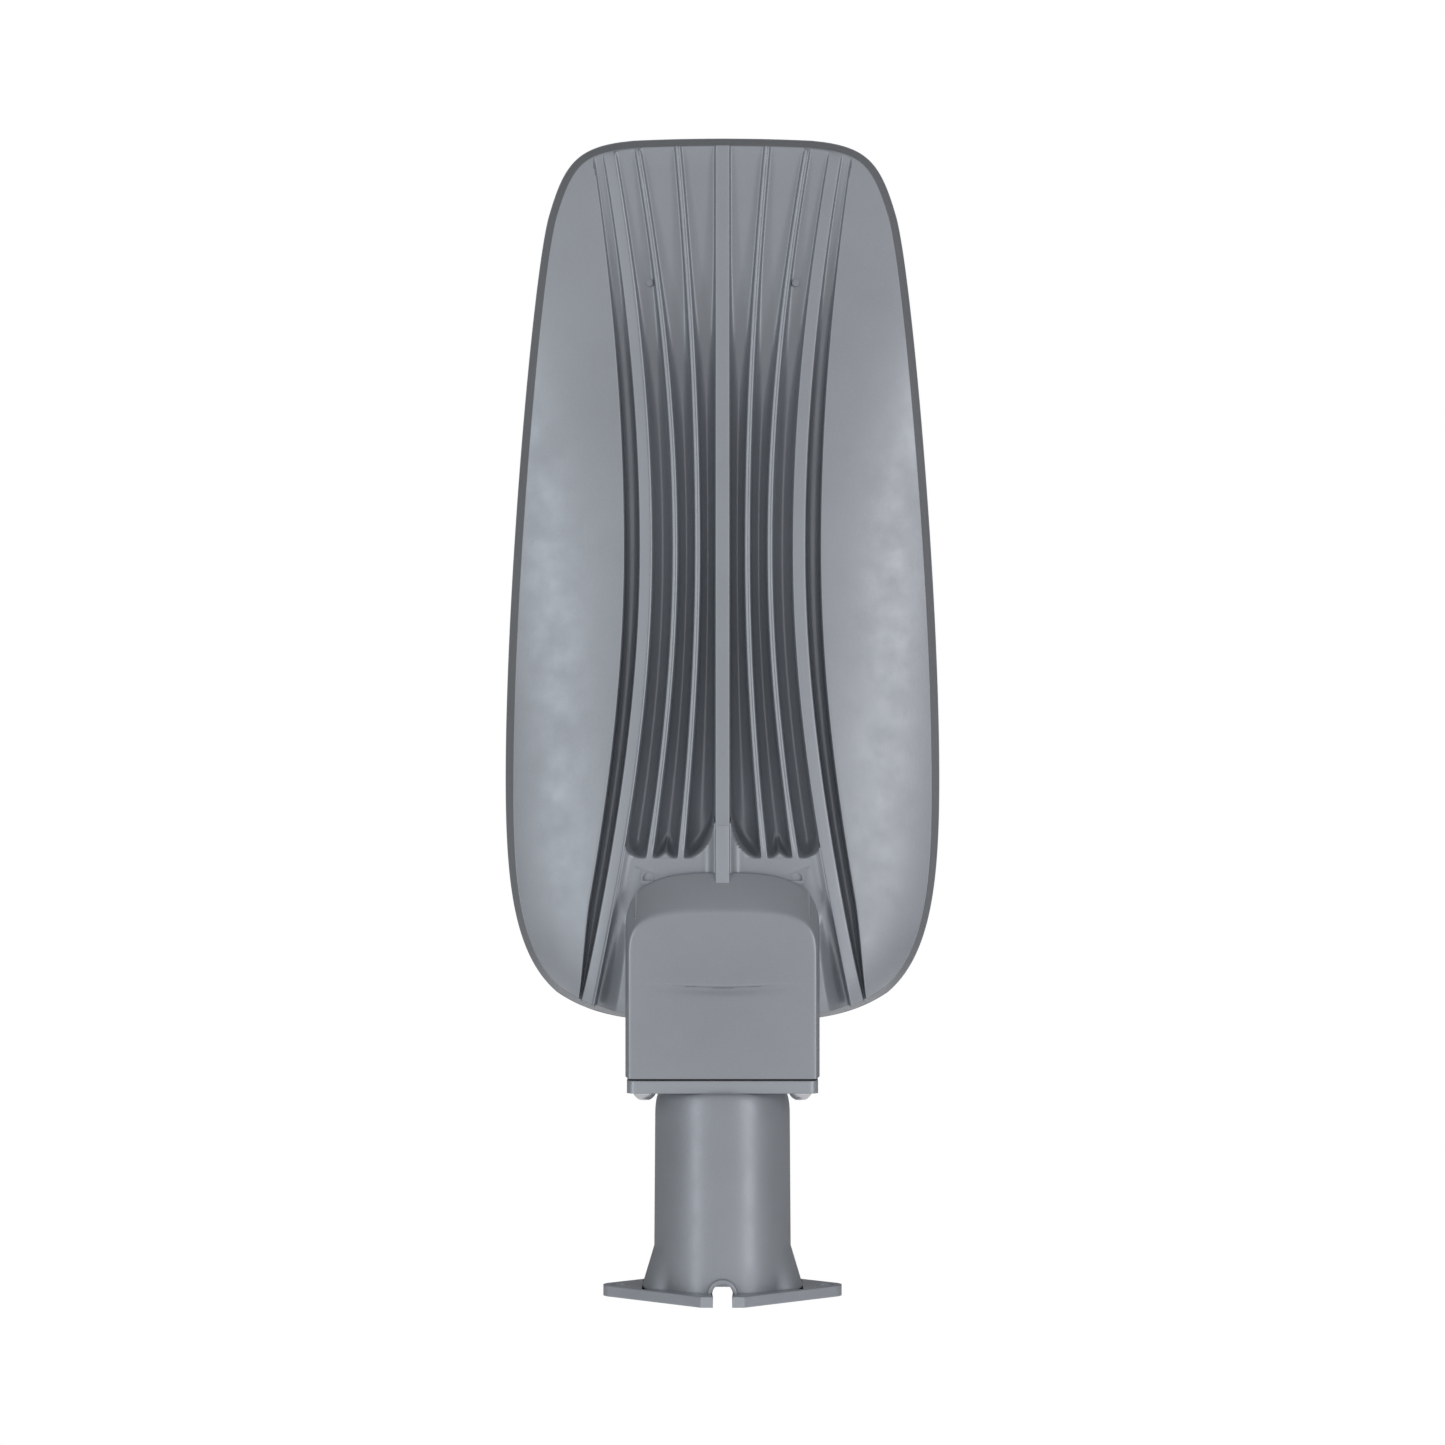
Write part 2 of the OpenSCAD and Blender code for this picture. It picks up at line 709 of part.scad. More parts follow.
module frame_gasket() {
    color(black)
        difference() {
            window_plate(seat_in + fit, window_z - 6 + fit, ledge_y, ledge_y + glass_seal_t);
            window_plate(window_in, window_z, ledge_y - cut, seat_y);
        }
}

module glass_cover() {
    color([0.75, 0.85, 0.88, 0.4])
        window_plate(seat_in + fit, window_z - 6 + fit, ledge_y + glass_seal_t, seat_y);
}

module frame_screws() {
    color(steel)
        at_frame_screws()
            translate([0, rim_y, 0])
                face_screw(2, frame_t + 8);
}

module at_board_screws() {
    for (z = [lens_z0 + lens_pitch_z / 2, lens_z0 + (lens_rows - 0.5) * lens_pitch_z])
        mirror_x()
            translate([lens_pitch_x, 0, z])
                children();
}

module thermal_pad() {
    color(white)
        difference() {
            window_plate(window_in + 2, window_z + 4, pcb_seat_y, pcb_seat_y + 0.5);
            at_board_screws()
                rod_y(1.5 + fit, pcb_seat_y - cut, pcb_seat_y + cut);
        }
}

module led_board() {
    color(white)
        difference() {
            window_plate(window_in + 2, window_z + 4, pcb_seat_y + 0.5, pcb_seat_y + 0.5 + board_t);
            at_board_screws()
                rod_y(1.5 + fit, pcb_seat_y, pcb_seat_y + board_t + cut);
        }
}

module led_chips() {
    top = pcb_seat_y + 0.5 + board_t;
    color("gold")
        at_lenses()
            block(-2.5, 2.5, top, top + 0.8, -2.5, 2.5);
}

module led_board_screws() {
    color(steel)
        at_board_screws()
            translate([0, pcb_seat_y + 0.5 + board_t, 0])
                face_screw(1.5, board_t + 3);
}

// One moulded plate with a domed lens over each light source
module lens_array() {
    y0 = pcb_seat_y + 0.5 + board_t;
    dome_h = 5.5;
    ball_r = (lens_r * lens_r + dome_h * dome_h) / (2 * dome_h);
    color([0.85, 0.92, 0.95, 0.5])
        difference() {
            union() {
                window_plate(window_in + 4, window_z + 8, y0, y0 + 2.2);
                at_lenses()
                    translate([0, y0 + 2.2 + dome_h - ball_r, 0])
                        intersection() {
                            sphere(ball_r);
                            rod_y(lens_r, ball_r - dome_h - 0.2, ball_r + cut);
                        }
            }
            at_lenses()
                rod_y(4.2, y0 - cut, y0 + 1.5);
            at_board_screws()
                rod_y(3.6, y0 - cut, y0 + 3);
        }
}

// ---------------------------------------------------------------- service door

module rounded_panel(w, z0, z1, y0, y1, r) {
    block(-w / 2 + r, w / 2 - r, y0, y1, z0, z1);
    block(-w / 2, w / 2, y0, y1, z0 + r, z1 - r);
    for (x = [r - w / 2, w / 2 - r], z = [z0 + r, z1 - r])
        translate([x, 0, z])
            rod_y(r, y0, y1);
}

module hinge_barrel(x0) {
    translate([x0, hinge_y, hinge_z])
        rotate([0, 90, 0])
            cylinder(r = knuckle_r, h = knuckle_l);
}

module hinge_bore() {
    translate([-door_w / 2, hinge_y, hinge_z])
        rotate([0, 90, 0])
            cylinder(d = hinge_pin_d + 2 * pin_fit, h = door_w);
}

module service_door() {
    y0 = seat_y + door_seal_t;
    x0 = knuckle_l / 2 + 0.5;
    color(dark_grey)
        difference() {
            union() {
                rounded_panel(door_w, door_z0, door_z1, y0, y0 + door_t, 5);
                for (x = [x0, -x0 - knuckle_l]) {
                    hinge_barrel(x);
                    block(x, x + knuckle_l, y0, hinge_y, hinge_z + knuckle_r - 1, door_z0 + 2);
                }
            }
            hinge_bore();
            mirror_x()
                translate([latch_x, 0, latch_z])
                    rod_y(latch_r + fit, y0 - cut, y0 + door_t + cut);
            translate([0, 0, vent_z])
                rod_y(6 + fit, y0 - cut, y0 + door_t + cut);
        }
}

module door_gasket() {
    color(black)
        difference() {
            rounded_panel(door_w - 1, door_z0 + 0.5, door_z1 - 0.5, seat_y, seat_y + door_seal_t, 5);
            rounded_panel(cavity_w + 1, land_z, cavity_top, seat_y - cut, seat_y + door_seal_t + cut, 3);
            mirror_x()
                translate([latch_x, 0, latch_z])
                    rod_y(latch_r + 1, seat_y - cut, seat_y + door_seal_t + cut);
        }
}

module door_screws() {
    color(steel)
        mirror_x()
            translate([latch_x, seat_y + door_seal_t + door_t, latch_z])
                face_screw(latch_r, door_t + door_seal_t + 4.5);
}

module door_hinge_bracket() {
    pitch = knuckle_l + 1;
    color(steel)
        difference() {
            union() {
                block(-door_w / 2, door_w / 2, seat_y, seat_y + bracket_t, bay_z + 0.2, bay_z + 4.8);
                for (x = [-2 * pitch, 0, 2 * pitch] - [1, 1, 1] * knuckle_l / 2) {
                    hinge_barrel(x);
                    block(x, x + knuckle_l, seat_y, hinge_y, bay_z + 1.5, bay_z + 4.8);
                }
            }
            hinge_bore();
            mirror_x()
                translate([bracket_hole_x, 0, bracket_hole_z])
                    rod_y(1.2 + fit, seat_y - cut, seat_y + bracket_t + cut);
        }
}

module hinge_bracket_screws() {
    color(steel)
        mirror_x()
            translate([bracket_hole_x, seat_y + bracket_t, bracket_hole_z])
                face_screw(1.2, 6);
}

module door_hinge_pin() {
    l = 5 * knuckle_l + 6;
    color(steel)
        translate([-l / 2, hinge_y, hinge_z])
            rotate([0, 90, 0])
                cylinder(d = hinge_pin_d, h = l);
}

module breather_vent() {
    y = seat_y + door_seal_t + door_t;
    color(black)
        translate([0, 0, vent_z])
            difference() {
                union() {
                    rod_y(6, y - door_t - 4, y);
                    rod_y(8.5, y, y + 2.5);
                }
                for (a = [0:60:300])
                    rotate([0, a, 0])
                        block(-1, 1, y + 0.8, y + 1.8, 5, 10);
            }
}

// ---------------------------------------------------------------- battery

module at_cells() {
    for (i = [-1, 0, 1])
        translate([i * cell_pitch, cell_y, 0])
            children();
}

module at_tie_rods() {
    for (x = [-0.5, 0.5] * cell_pitch, y = [-1, 1] * rod_offset)
        translate([x, cell_y + y, 0])
            children();
}

module battery_cells() {
    color(blue)
        at_cells()
            translate([0, 0, cell_z]) {
                cylinder(d = cell_d, h = cell_l - 1.2);
                cylinder(d = cell_d * 0.4, h = cell_l);
            }
}

// Plate with a ring for each cell; z is its outer face and dir says where the rings point
module cell_plate(z, dir) {
    ring_z = dir > 0 ? z + tray_t : z - ring_h;
    difference() {
        union() {
            block(-holder_w / 2, holder_w / 2, cell_y - cell_d / 2 - 1.6, cell_y + cell_d / 2 + 1.6,
                  z, z + tray_t);
            at_cells()
                translate([0, 0, ring_z])
                    cylinder(d = cell_d + 3, h = ring_h);
        }
        at_cells()
            translate([0, 0, ring_z - (dir > 0 ? 0 : cut)])
                cylinder(d = cell_d + 2 * fit, h = ring_h + cut);
        at_tie_rods()
            translate([0, 0, z - ring_h - cut])
                cylinder(r = rod_r + fit, h = 2 * ring_h + tray_t + 2 * cut);
    }
}

module battery_tray() {
    color(black)
        difference() {
            union() {
                cell_plate(tray_z, 1);
                mirror_x()
                    block(cell_pitch * 1.35, screw_x + 5,
                          -screw_y - 5, -screw_y + 3, tray_z, tray_z + tray_t);
            }
            mirror_x()
                translate([tray_screw_x, tray_screw_y, tray_z - cut])
                    cylinder(r = 1.5 + fit, h = tray_t + 2 * cut);
        }
}

module battery_cap() {
    color(black)
        cell_plate(cap_z, -1);
}

module battery_tie_rods() {
    color(steel)
        at_tie_rods()
            translate([0, 0, cap_z + tray_t])
                mirror([0, 0, 1])
                    pan_screw(rod_r, cap_z - tray_z + tray_t);
}

module battery_tray_screws() {
    color(steel)
        mirror_x()
            translate([tray_screw_x, tray_screw_y, tray_z + tray_t])
                mirror([0, 0, 1])
                    pan_screw(1.5, tray_t + 3);
}

// ---------------------------------------------------------------- controller

module controller_board() {
    color(green)
        difference() {
            block(-pcb_w / 2, pcb_w / 2, pcb_y, pcb_y + pcb_t, pcb_z0, pcb_z1);
            mirror_x()
                for (z = [pcb_z0 + 4, pcb_z1 - 4])
                    translate([pcb_hole_x, 0, z])
                        rod_y(1.5 + fit, pcb_y - cut, pcb_y + pcb_t + cut);
        }
}

module controller_board_screws() {
    color(steel)
        mirror_x()
            for (z = [pcb_z0 + 4, pcb_z1 - 4])
                translate([pcb_hole_x, pcb_y + pcb_t, z])
                    face_screw(1.5, pcb_t + 5);
}

module controller_capacitors() {
    color(dark_grey)
        for (x = [16, 26])
            translate([x, 0, parts_z])
                rod_y(4.2, pcb_y + pcb_t, seat_y - 4);
}

module controller_inductor() {
    color([0.55, 0.33, 0.12])
        translate([-27, pcb_y + pcb_t + 2.2, parts_z])
            rotate([90, 0, 0])
                rotate_extrude()
                    translate([3.3, 0])
                        circle(r = 2.2);
}

module controller_chips() {
    y0 = pcb_y + pcb_t;
    color(black)
        for (x = [-8, 2])
            block(x - 3, x + 3, y0, y0 + 1.6, parts_z - 3, parts_z + 3);
}

module terminal_block() {
    y0 = pcb_y + pcb_t;
    color([0.1, 0.45, 0.2])
        difference() {
            block(-ways * way_w / 2, ways * way_w / 2, y0, y0 + 9, terminal_z0, terminal_z0 + terminal_h);
            at_ways()
                rod_y(1.8 + fit, y0 + 3, y0 + 9 + cut);
            at_ways()
                block(-2, 2, y0 + 1.5, y0 + 5.5, -terminal_h, 0.8 - fit);
        }
}

module at_ways() {
    for (i = [0:ways - 1])
        translate([(i - (ways - 1) / 2) * way_w, 0, pcb_z0 + 5])
            children();
}

module terminal_screws() {
    y0 = pcb_y + pcb_t;
    color(steel)
        at_ways()
            difference() {
                rod_y(1.8, y0 + 5.8, y0 + 8.6);
                block(-2, 2, y0 + 7.8, y0 + 9, -0.4, 0.4);
            }
}

module earth_screw() {
    color("gold")
        translate([earth_x, screw_y, land_z + 4])
            mirror([0, 0, 1])
                pan_screw(2, 7);
}

// ---------------------------------------------------------------- cable gland

module cable_gland() {
    color(black)
        translate([0, gland_y, bay_z])
            difference() {
                union() {
                    cylinder(r = gland_r, h = bay_floor + 6);
                    translate([0, 0, -5])
                        cylinder(r = 11, h = 5, $fn = 6);
                    translate([0, 0, -13])
                        cylinder(r = gland_r, h = 9);
                }
                translate([0, 0, -13 - cut])
                    cylinder(r = 5, h = 30);
            }
}

module gland_cap() {
    color(black)
        translate([0, gland_y, bay_z - 17])
            difference() {
                union() {
                    translate([0, 0, 3])
                        cylinder(r = 11, h = 8, $fn = 6);
                    cylinder(r1 = 7.5, r2 = 9.5, h = 3);
                }
                translate([0, 0, 4])
                    cylinder(r = gland_r + pin_fit, h = 7 + cut);
                translate([0, 0, -cut])
                    cylinder(r = 5.5, h = 8);
            }
}

module gland_seal() {
    color(dark_grey)
        translate([0, gland_y, bay_z - 12])
            difference() {
                cylinder(r = 5 - pin_fit, h = 10);
                translate([0, 0, -cut])
                    cylinder(r = 3, h = 12);
            }
}

module gland_locknut() {
    color(black)
        translate([0, gland_y, floor_z])
            difference() {
                cylinder(r = 11.5, h = 3.5, $fn = 6);
                translate([0, 0, -cut])
                    cylinder(r = gland_r + pin_fit, h = 6);
            }
}

// ---------------------------------------------------------------- sensor and button

module sensor_dome() {
    color(white)
        translate([0, 0, strip_mid])
            difference() {
                union() {
                    rod_y(dome_r, seat_y - 2, rim_y);
                    translate([0, rim_y - 2, 0])
                        intersection() {
                            sphere(dome_r);
                            rod_y(dome_r, 2, dome_r + cut);
                        }
                    rod_y(dome_r + 1.3, seat_y - 2, seat_y);
                }
                rod_y(dome_r - 1.2, seat_y - 3, rim_y - 1);
            }
}

module at_strip_screws() {
    mirror_x()
        translate([strip_screw_x, 0, strip_mid])
            children();
}

module sensor_board() {
    h = strip_z1 - strip_z0 - 2;
    color(green)
        difference() {
            block(-strip_w / 2 + 4, strip_w / 2 - 4, pcb_seat_y, pcb_seat_y + pcb_t,
                  strip_mid - h / 2, strip_mid + h / 2);
            at_strip_screws()
                rod_y(1.2 + fit, pcb_seat_y - cut, pcb_seat_y + pcb_t + cut);
        }
}

module sensor_board_screws() {
    color(steel)
        at_strip_screws()
            translate([0, pcb_seat_y + pcb_t, 0])
                face_screw(1.2, pcb_t + 3.5);
}

module sensor_can() {
    y0 = pcb_seat_y + pcb_t;
    color(steel)
        translate([0, 0, strip_mid]) {
            rod_y(4.6, y0, y0 + 0.6);
            rod_y(4.1, y0, y0 + 4);
        }
}

module indicator_led() {
    y0 = pcb_seat_y + pcb_t;
    color("gold")
        translate([pipe_x, 0, strip_mid])
            block(-1.4, 1.4, y0, y0 + 0.8, -0.8, 0.8);
}

module button_bezel() {
    color(steel)
        translate([button_x, 0, strip_mid])
            difference() {
                union() {
                    rod_y(barrel_r, seat_y - 6, rim_y + 0.5);
                    rod_y(barrel_r + 2.5, rim_y, rim_y + 1.8);
                }
                rod_y(button_r + slide_fit, seat_y - 4.5, rim_y + 3);
                rod_y(2, seat_y - 7, seat_y);
            }
}

module button_nut() {
    color(steel)
        translate([button_x, 0, strip_mid])
            difference() {
                translate([0, seat_y - 3, 0])
                    rotate([-90, 0, 0])
                        cylinder(r = 8.2, h = 3, $fn = 6);
                rod_y(barrel_r + pin_fit, seat_y - 4, seat_y + cut);
            }
}

module push_button() {
    color("firebrick")
        translate([button_x, 0, strip_mid]) {
            rod_y(button_r, rim_y - 3.2, rim_y + 3.6);
            rod_y(1.4, seat_y - 6, rim_y - 3.2);
        }
}

// Helical return spring around the button's stem, at the length it has when the button is pressed
module button_spring() {
    y0 = seat_y - 4.4;
    y1 = rim_y - 3.3 - button_travel;
    turns = 4;
    steps = 12;
    wire = 0.3;
    color(steel)
        lead([for (i = [0:turns * steps])
              let (a = 360 * i / steps)
              [button_x + 2.8 * cos(a), mix(y0 + wire, y1 - wire, i / (turns * steps)),
               strip_mid + 2.8 * sin(a)]], wire, [0, 1, 0]);
}

module button_switch() {
    color(black)
        translate([button_x, 0, strip_mid])
            block(-5, 5, pcb_seat_y + pcb_t, seat_y - 6.2 - button_travel, -5, 5);
}

module light_pipe() {
    color([0.6, 0.9, 0.6])
        translate([pipe_x, 0, strip_mid]) {
            rod_y(2.5, pcb_seat_y + pcb_t + 1, rim_y + 0.8);
            rod_y(4, seat_y - 2, seat_y);
        }
}

// ---------------------------------------------------------------- leads

// From the battery's end terminal to the first way of the terminal block
module battery_lead() {
    x0 = -cell_pitch;
    x1 = -2.5 * way_w;
    z0 = cap_z + tray_t;
    y1 = pcb_y + pcb_t + 3.5;
    color("firebrick")
        lead([[x0, cell_y, z0], [x0, cell_y, z0 + 0.8], [x0 + 0.4, cell_y + 1.5, z0 + 2],
              [x0 + 1.2, cell_y + 4, z0 + 2.2],
              [x1 - 0.8, y1 - 4, z0 + 2.2], [x1, y1 - 1.2, z0 + 2.9], [x1, y1, z0 + 5],
              [x1, y1, pcb_z0 + 4]], 0.9);
}

// From the controller up through the housing to the lower edge of the circuit board
module led_lead() {
    x = button_x + 12;
    y = pcb_seat_y + 6;
    yb = pcb_seat_y + 0.5 + board_t + 0.9;
    color(black)
        lead([[x, pcb_y + pcb_t + 0.9, parts_z - 3], [x, pcb_y + pcb_t + 1.5, parts_z],
              [x, y - 3, pcb_z1 - 4], [x, y - 0.5, pcb_z1 - 2], [x, y, pcb_z1 + 1],
              [x, y, strip_z], [x, y, window_z - 6], [x, y - 1, window_z],
              [x, yb, window_z + 5], [x, yb, window_z + 7.5]], 0.9);
}

spigot_adaptor();
adaptor_plate();
adaptor_gasket();
adaptor_screws();
pole_set_screws();
housing();
front_frame();
frame_gasket();
glass_cover();
frame_screws();
lens_array();
led_board();
led_chips();
thermal_pad();
led_board_screws();
service_door();
door_gasket();
door_screws();
door_hinge_bracket();
hinge_bracket_screws();
door_hinge_pin();
breather_vent();
battery_cells();
battery_tray();
battery_cap();
battery_tie_rods();
battery_tray_screws();
controller_board();
controller_board_screws();
controller_capacitors();
controller_inductor();
controller_chips();
terminal_block();
terminal_screws();
cable_gland();
gland_cap();
gland_seal();
gland_locknut();
sensor_dome();
sensor_board();
sensor_board_screws();
sensor_can();
button_bezel();
button_nut();
push_button();
button_spring();
button_switch();
light_pipe();
indicator_led();
earth_screw();
battery_lead();
led_lead();
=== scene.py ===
import json
import math

import bmesh
import bpy
import numpy as np
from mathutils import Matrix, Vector
from mathutils.bvhtree import BVHTree


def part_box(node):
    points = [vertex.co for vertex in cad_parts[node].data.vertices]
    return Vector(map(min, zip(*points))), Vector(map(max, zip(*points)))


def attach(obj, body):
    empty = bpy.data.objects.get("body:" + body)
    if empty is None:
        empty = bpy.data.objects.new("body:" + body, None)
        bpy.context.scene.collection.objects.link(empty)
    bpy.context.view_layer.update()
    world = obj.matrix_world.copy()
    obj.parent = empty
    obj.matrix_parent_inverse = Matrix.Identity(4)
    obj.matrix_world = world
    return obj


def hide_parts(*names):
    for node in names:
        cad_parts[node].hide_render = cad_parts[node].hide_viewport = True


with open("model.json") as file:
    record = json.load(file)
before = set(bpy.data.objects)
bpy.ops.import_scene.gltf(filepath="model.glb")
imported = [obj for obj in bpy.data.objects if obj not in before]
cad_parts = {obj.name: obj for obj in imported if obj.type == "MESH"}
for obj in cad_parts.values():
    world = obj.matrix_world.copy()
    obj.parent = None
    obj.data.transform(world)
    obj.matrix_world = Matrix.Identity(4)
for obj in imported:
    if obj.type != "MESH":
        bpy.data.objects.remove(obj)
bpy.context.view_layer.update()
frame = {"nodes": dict(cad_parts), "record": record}  # frame holds the CAD nodes and the record
cad_nodes = frame["nodes"]

MM = 0.001


CAMERA_PLACE = (0, -2.150, 0.2968)  # in metres
CAMERA_LENS = 103.3
SENSOR_W = 36


# ---------------------------------------------------------------- camera

def make_camera():
    """Level camera that faces the finned back."""
    data = bpy.data.cameras.new("camera")
    camera = bpy.data.objects.new("camera", data)
    bpy.context.scene.collection.objects.link(camera)
    camera.location = CAMERA_PLACE
    camera.rotation_euler = (math.radians(90), 0, 0)
    data.lens = CAMERA_LENS
    data.sensor_width = SENSOR_W
    bpy.context.scene.camera = camera


make_camera()


# ---------------------------------------------------------------- sizes, in millimetres

def box_mm(node):
    """A CAD node's lowest and highest corner in millimetres."""
    lo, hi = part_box(node)
    return np.array(lo) / MM, np.array(hi) / MM


housing_lo, housing_hi = box_mm("housing")
plate_lo, plate_hi = box_mm("adaptor_plate")

HEAD_W = housing_hi[0] - housing_lo[0]
TIP_Z = housing_hi[2]
RIM_Y = housing_hi[1]
BACK_Y = housing_lo[1]
BAY_Z = housing_lo[2]
BAY_W = plate_hi[0] - plate_lo[0] + 2
HEAD_Z = BAY_Z + 27          # foot of the head, above the bay's lower edge
HEAD_L = TIP_Z - HEAD_Z
BAY_TOP = BAY_Z + 105
BAY_SEAT = BAY_Z + 51        # above this the bay's back leans inwards
BAY_SLOPE_L = 36             # height over which the lean reaches its full size
BAY_LEAN = 4

PLATE_Z = plate_hi[2] - 6.5  # underside of the adaptor plate
TUBE_TOP = PLATE_Z - 13      # where the spigot's shoulder begins
FOOT_R = 35.5                # spigot radius at the flange and at the plate
NECK_R = 31.4
SKIN_FROM = -235             # angles in degrees from +X between which the new skin runs
SKIN_TO = 55
SKIN_SIDE_Y = 27             # beyond this the CAD's own skin stays, round the set screws
BEAD_R = 1.3                 # half-thickness of the bead round the cable notch
BEAD_RISE = 1.45
FLANGE_T = 5.5
GUSSET_TOP = 26
GUSSET_REACH = 6
NOTCH_R = 5.2
NOTCH_Z = 5.2

FACE_Y = RIM_Y - 21          # start of the finned face at the rim
FLOOR_DROP = 2.5
FLOOR_Y = FACE_Y - FLOOR_DROP
CROWN_H = 25
SKIRT_TIP = 7.0              # how far the rim slopes inwards at the tip, the sides and the foot
SKIRT_SIDE = 5.5
SKIRT_FOOT = 4.8

# Head outline: half-widths and heights as shares of the head's own, three curves
OUTLINE = np.array([(0, 1), (0.62, 1), (0.70, 0.998), (0.80, 0.912), (0.87, 0.853), (1, 0.49),
                    (1, 0.272), (1, 0.11), (0.93, 0.009), (BAY_W / HEAD_W, 0)])
STEPS = 14
SIDE_STEPS = 3 * STEPS

# Paths of the rib centres: half-distance at the tip, at the waist and at the bay's top
WAIST = 0.528
BEND = 0.35
FIN_IN = (0.21, 0.113, 0.19)
FIN_OUT = (0.40, 0.215, 0.332)
RIB_WIDE = (0.532, 0.347, 0.48)
WING = (0.605, 0.446, 0.57)
CENTRE_W = 7.3
WIDE_W = 6.6
FIN_W = 2.6
FIN_FOOT_Z = BAY_TOP + 7

COVE_R = 7.5                 # radius of the rounded sides of every groove
GROOVE_RUN = 9               # length of a groove's rounded end
INNER_RISE = 30              # how far each groove's end climbs away from the thin fin beside it
MIDDLE_RISE = 6
OUTER_RISE = 9
APRON_DROP = 3.6             # how far the apron above the bay lies below the ribs' tops
APRON_COVE = 6.2
TIP_DEEPER = 3.4             # extra depth of the grooves near the tip
VALLEY_DEPTH = 15            # extra depth of the outermost groove below the thin fins' feet
EDGE_R = 0.5                 # softening of cast edges

CAST_COLOUR = (0.285, 0.305, 0.335)
FILL_FRONT = 0.80            # brightness of the studio's soft fill, from the front and from the sides
FILL_SIDE = 0.20
FLOOR_R = 1.5                # the studio's floor, in metres
FLOOR_Z = -0.40


def smooth(t):
    """0 to 1 with a soft start and end."""
    c = np.clip(t, 0, 1)
    return c * c * (3 - 2 * c)


def mix(a, b, t):
    return a + (b - a) * t


def outline_point(i):
    """Point of the head's right outline, from the middle of the tip (0) to the foot (SIDE_STEPS)."""
    k = min(2, int(i / STEPS))
    t = i / STEPS - k
    p = OUTLINE[3 * k:3 * k + 4]
    w = ((1 - t) ** 3, 3 * (1 - t) ** 2 * t, 3 * (1 - t) * t * t, t ** 3)
    c = sum(w[j] * p[j] for j in range(4))
    return np.array((c[0] * HEAD_W / 2, HEAD_Z + c[1] * HEAD_L))


def skirt_inset(i):
    """How far the rim slopes inwards at outline point i."""
    inset = mix(SKIRT_SIDE, SKIRT_TIP, smooth((17 - i) / 12))
    return mix(inset, SKIRT_FOOT, smooth((i - 26) / 8))


def inset_point(i, inset):
    """Outline point i moved inwards, square to the outline."""
    a = outline_point(max(0, i - 0.2))
    b = outline_point(min(SIDE_STEPS, i + 0.2))
    d = (b - a) / np.linalg.norm(b - a)
    n = np.array((0, 1)) if i == 0 else np.array((-d[1], d[0]))
    return outline_point(i) - inset * n


def path(p, z):
    """Half-distance of a rib from the centre line at height z."""
    u = (z - HEAD_Z) / HEAD_L - WAIST
    span = 1 - WAIST if u > 0 else WAIST - (FIN_FOOT_Z - HEAD_Z) / HEAD_L
    reach = p[0] if u > 0 else p[2]
    g = (math.sqrt(1 + (2 * BEND * u / span) ** 2) - 1) / (math.sqrt(1 + (2 * BEND) ** 2) - 1)
    return HEAD_W / 2 * (p[1] + (reach - p[1]) * g)


def lift(z):
    """How far the crown's middle rises above the face's start at height z."""
    t = (TIP_Z - z) / HEAD_L
    return mix(FLOOR_DROP, CROWN_H * 0.72, smooth(t / 0.5)) + CROWN_H * 0.28 * smooth((t - 0.3) / 0.5)


def crown(x, z, half):
    """Level of the ribs' tops and the wings."""
    return FACE_Y - lift(z) * (1 - min(1, abs(x) / half) ** 2.4)


# ---------------------------------------------------------------- finned face

def groove_end(z, s, reach, rise):
    """Share of full depth that a groove has at height z, s away from the thin fin beside it.

    The end is a scallop, lowest at the fin's foot, that rises over the distance reach.
    """
    share = min(1, max(0, s) / reach)
    end = FIN_FOOT_Z + rise * (1 - math.sqrt(1 - 0.97 * share ** 2))
    t = np.clip((z - end) / GROOVE_RUN, 0, 1)
    return math.sqrt(1 - (1 - t) ** 2)


def cove(s, depth, radius):
    """Depth at distance s from a wall, for a floor that curves up to meet it."""
    if depth < radius:
        start = radius - math.sqrt(radius ** 2 - (radius - depth) ** 2)
    else:
        start = 0
    k = max(0, radius - s - start)
    return depth - (radius - math.sqrt(max(0, radius ** 2 - k ** 2)))


def groove_points(xa, xb, depth_at, tops, radius, steps=9):
    """Points across a groove from side xa to side xb: (x, depth). depth_at gives the floor's depth."""
    width = max(0.02, xb - xa)
    half_w = width / 2
    pts = []
    for side in (0, 1):
        wall = []
        top = tops[side]
        x_edge = xa if side == 0 else xb
        sign = 1 if side == 0 else -1
        deep = depth_at(x_edge + sign * min(1, half_w * 0.5))
        soft = min(EDGE_R, 0.25 * max(0, deep - top), 0.3 * half_w)
        drop = max(0, deep - top)
        bottom = max(0, drop - radius)
        draft = min(0.06 + 0.05 * bottom, half_w * 0.3)
        wall.append((x_edge - sign * soft, top))
        wall.append((x_edge - sign * soft * 0.3, top + soft * 0.3))
        wall.append((x_edge, top + soft))
        for k in range(1, steps + 1):
            s = (half_w - draft) * (k / steps) ** 1.5
            x = x_edge + sign * (draft + s)
            d = max(0, depth_at(x) - top)
            wall.append((x, top + max(soft * min(1, s), cove(s, d, radius))))
            if k == 1:
                wall.insert(3, (x_edge + sign * draft, top + max(soft, bottom)))
        pts.append(wall)
    return pts[0] + pts[1][:-1][::-1]


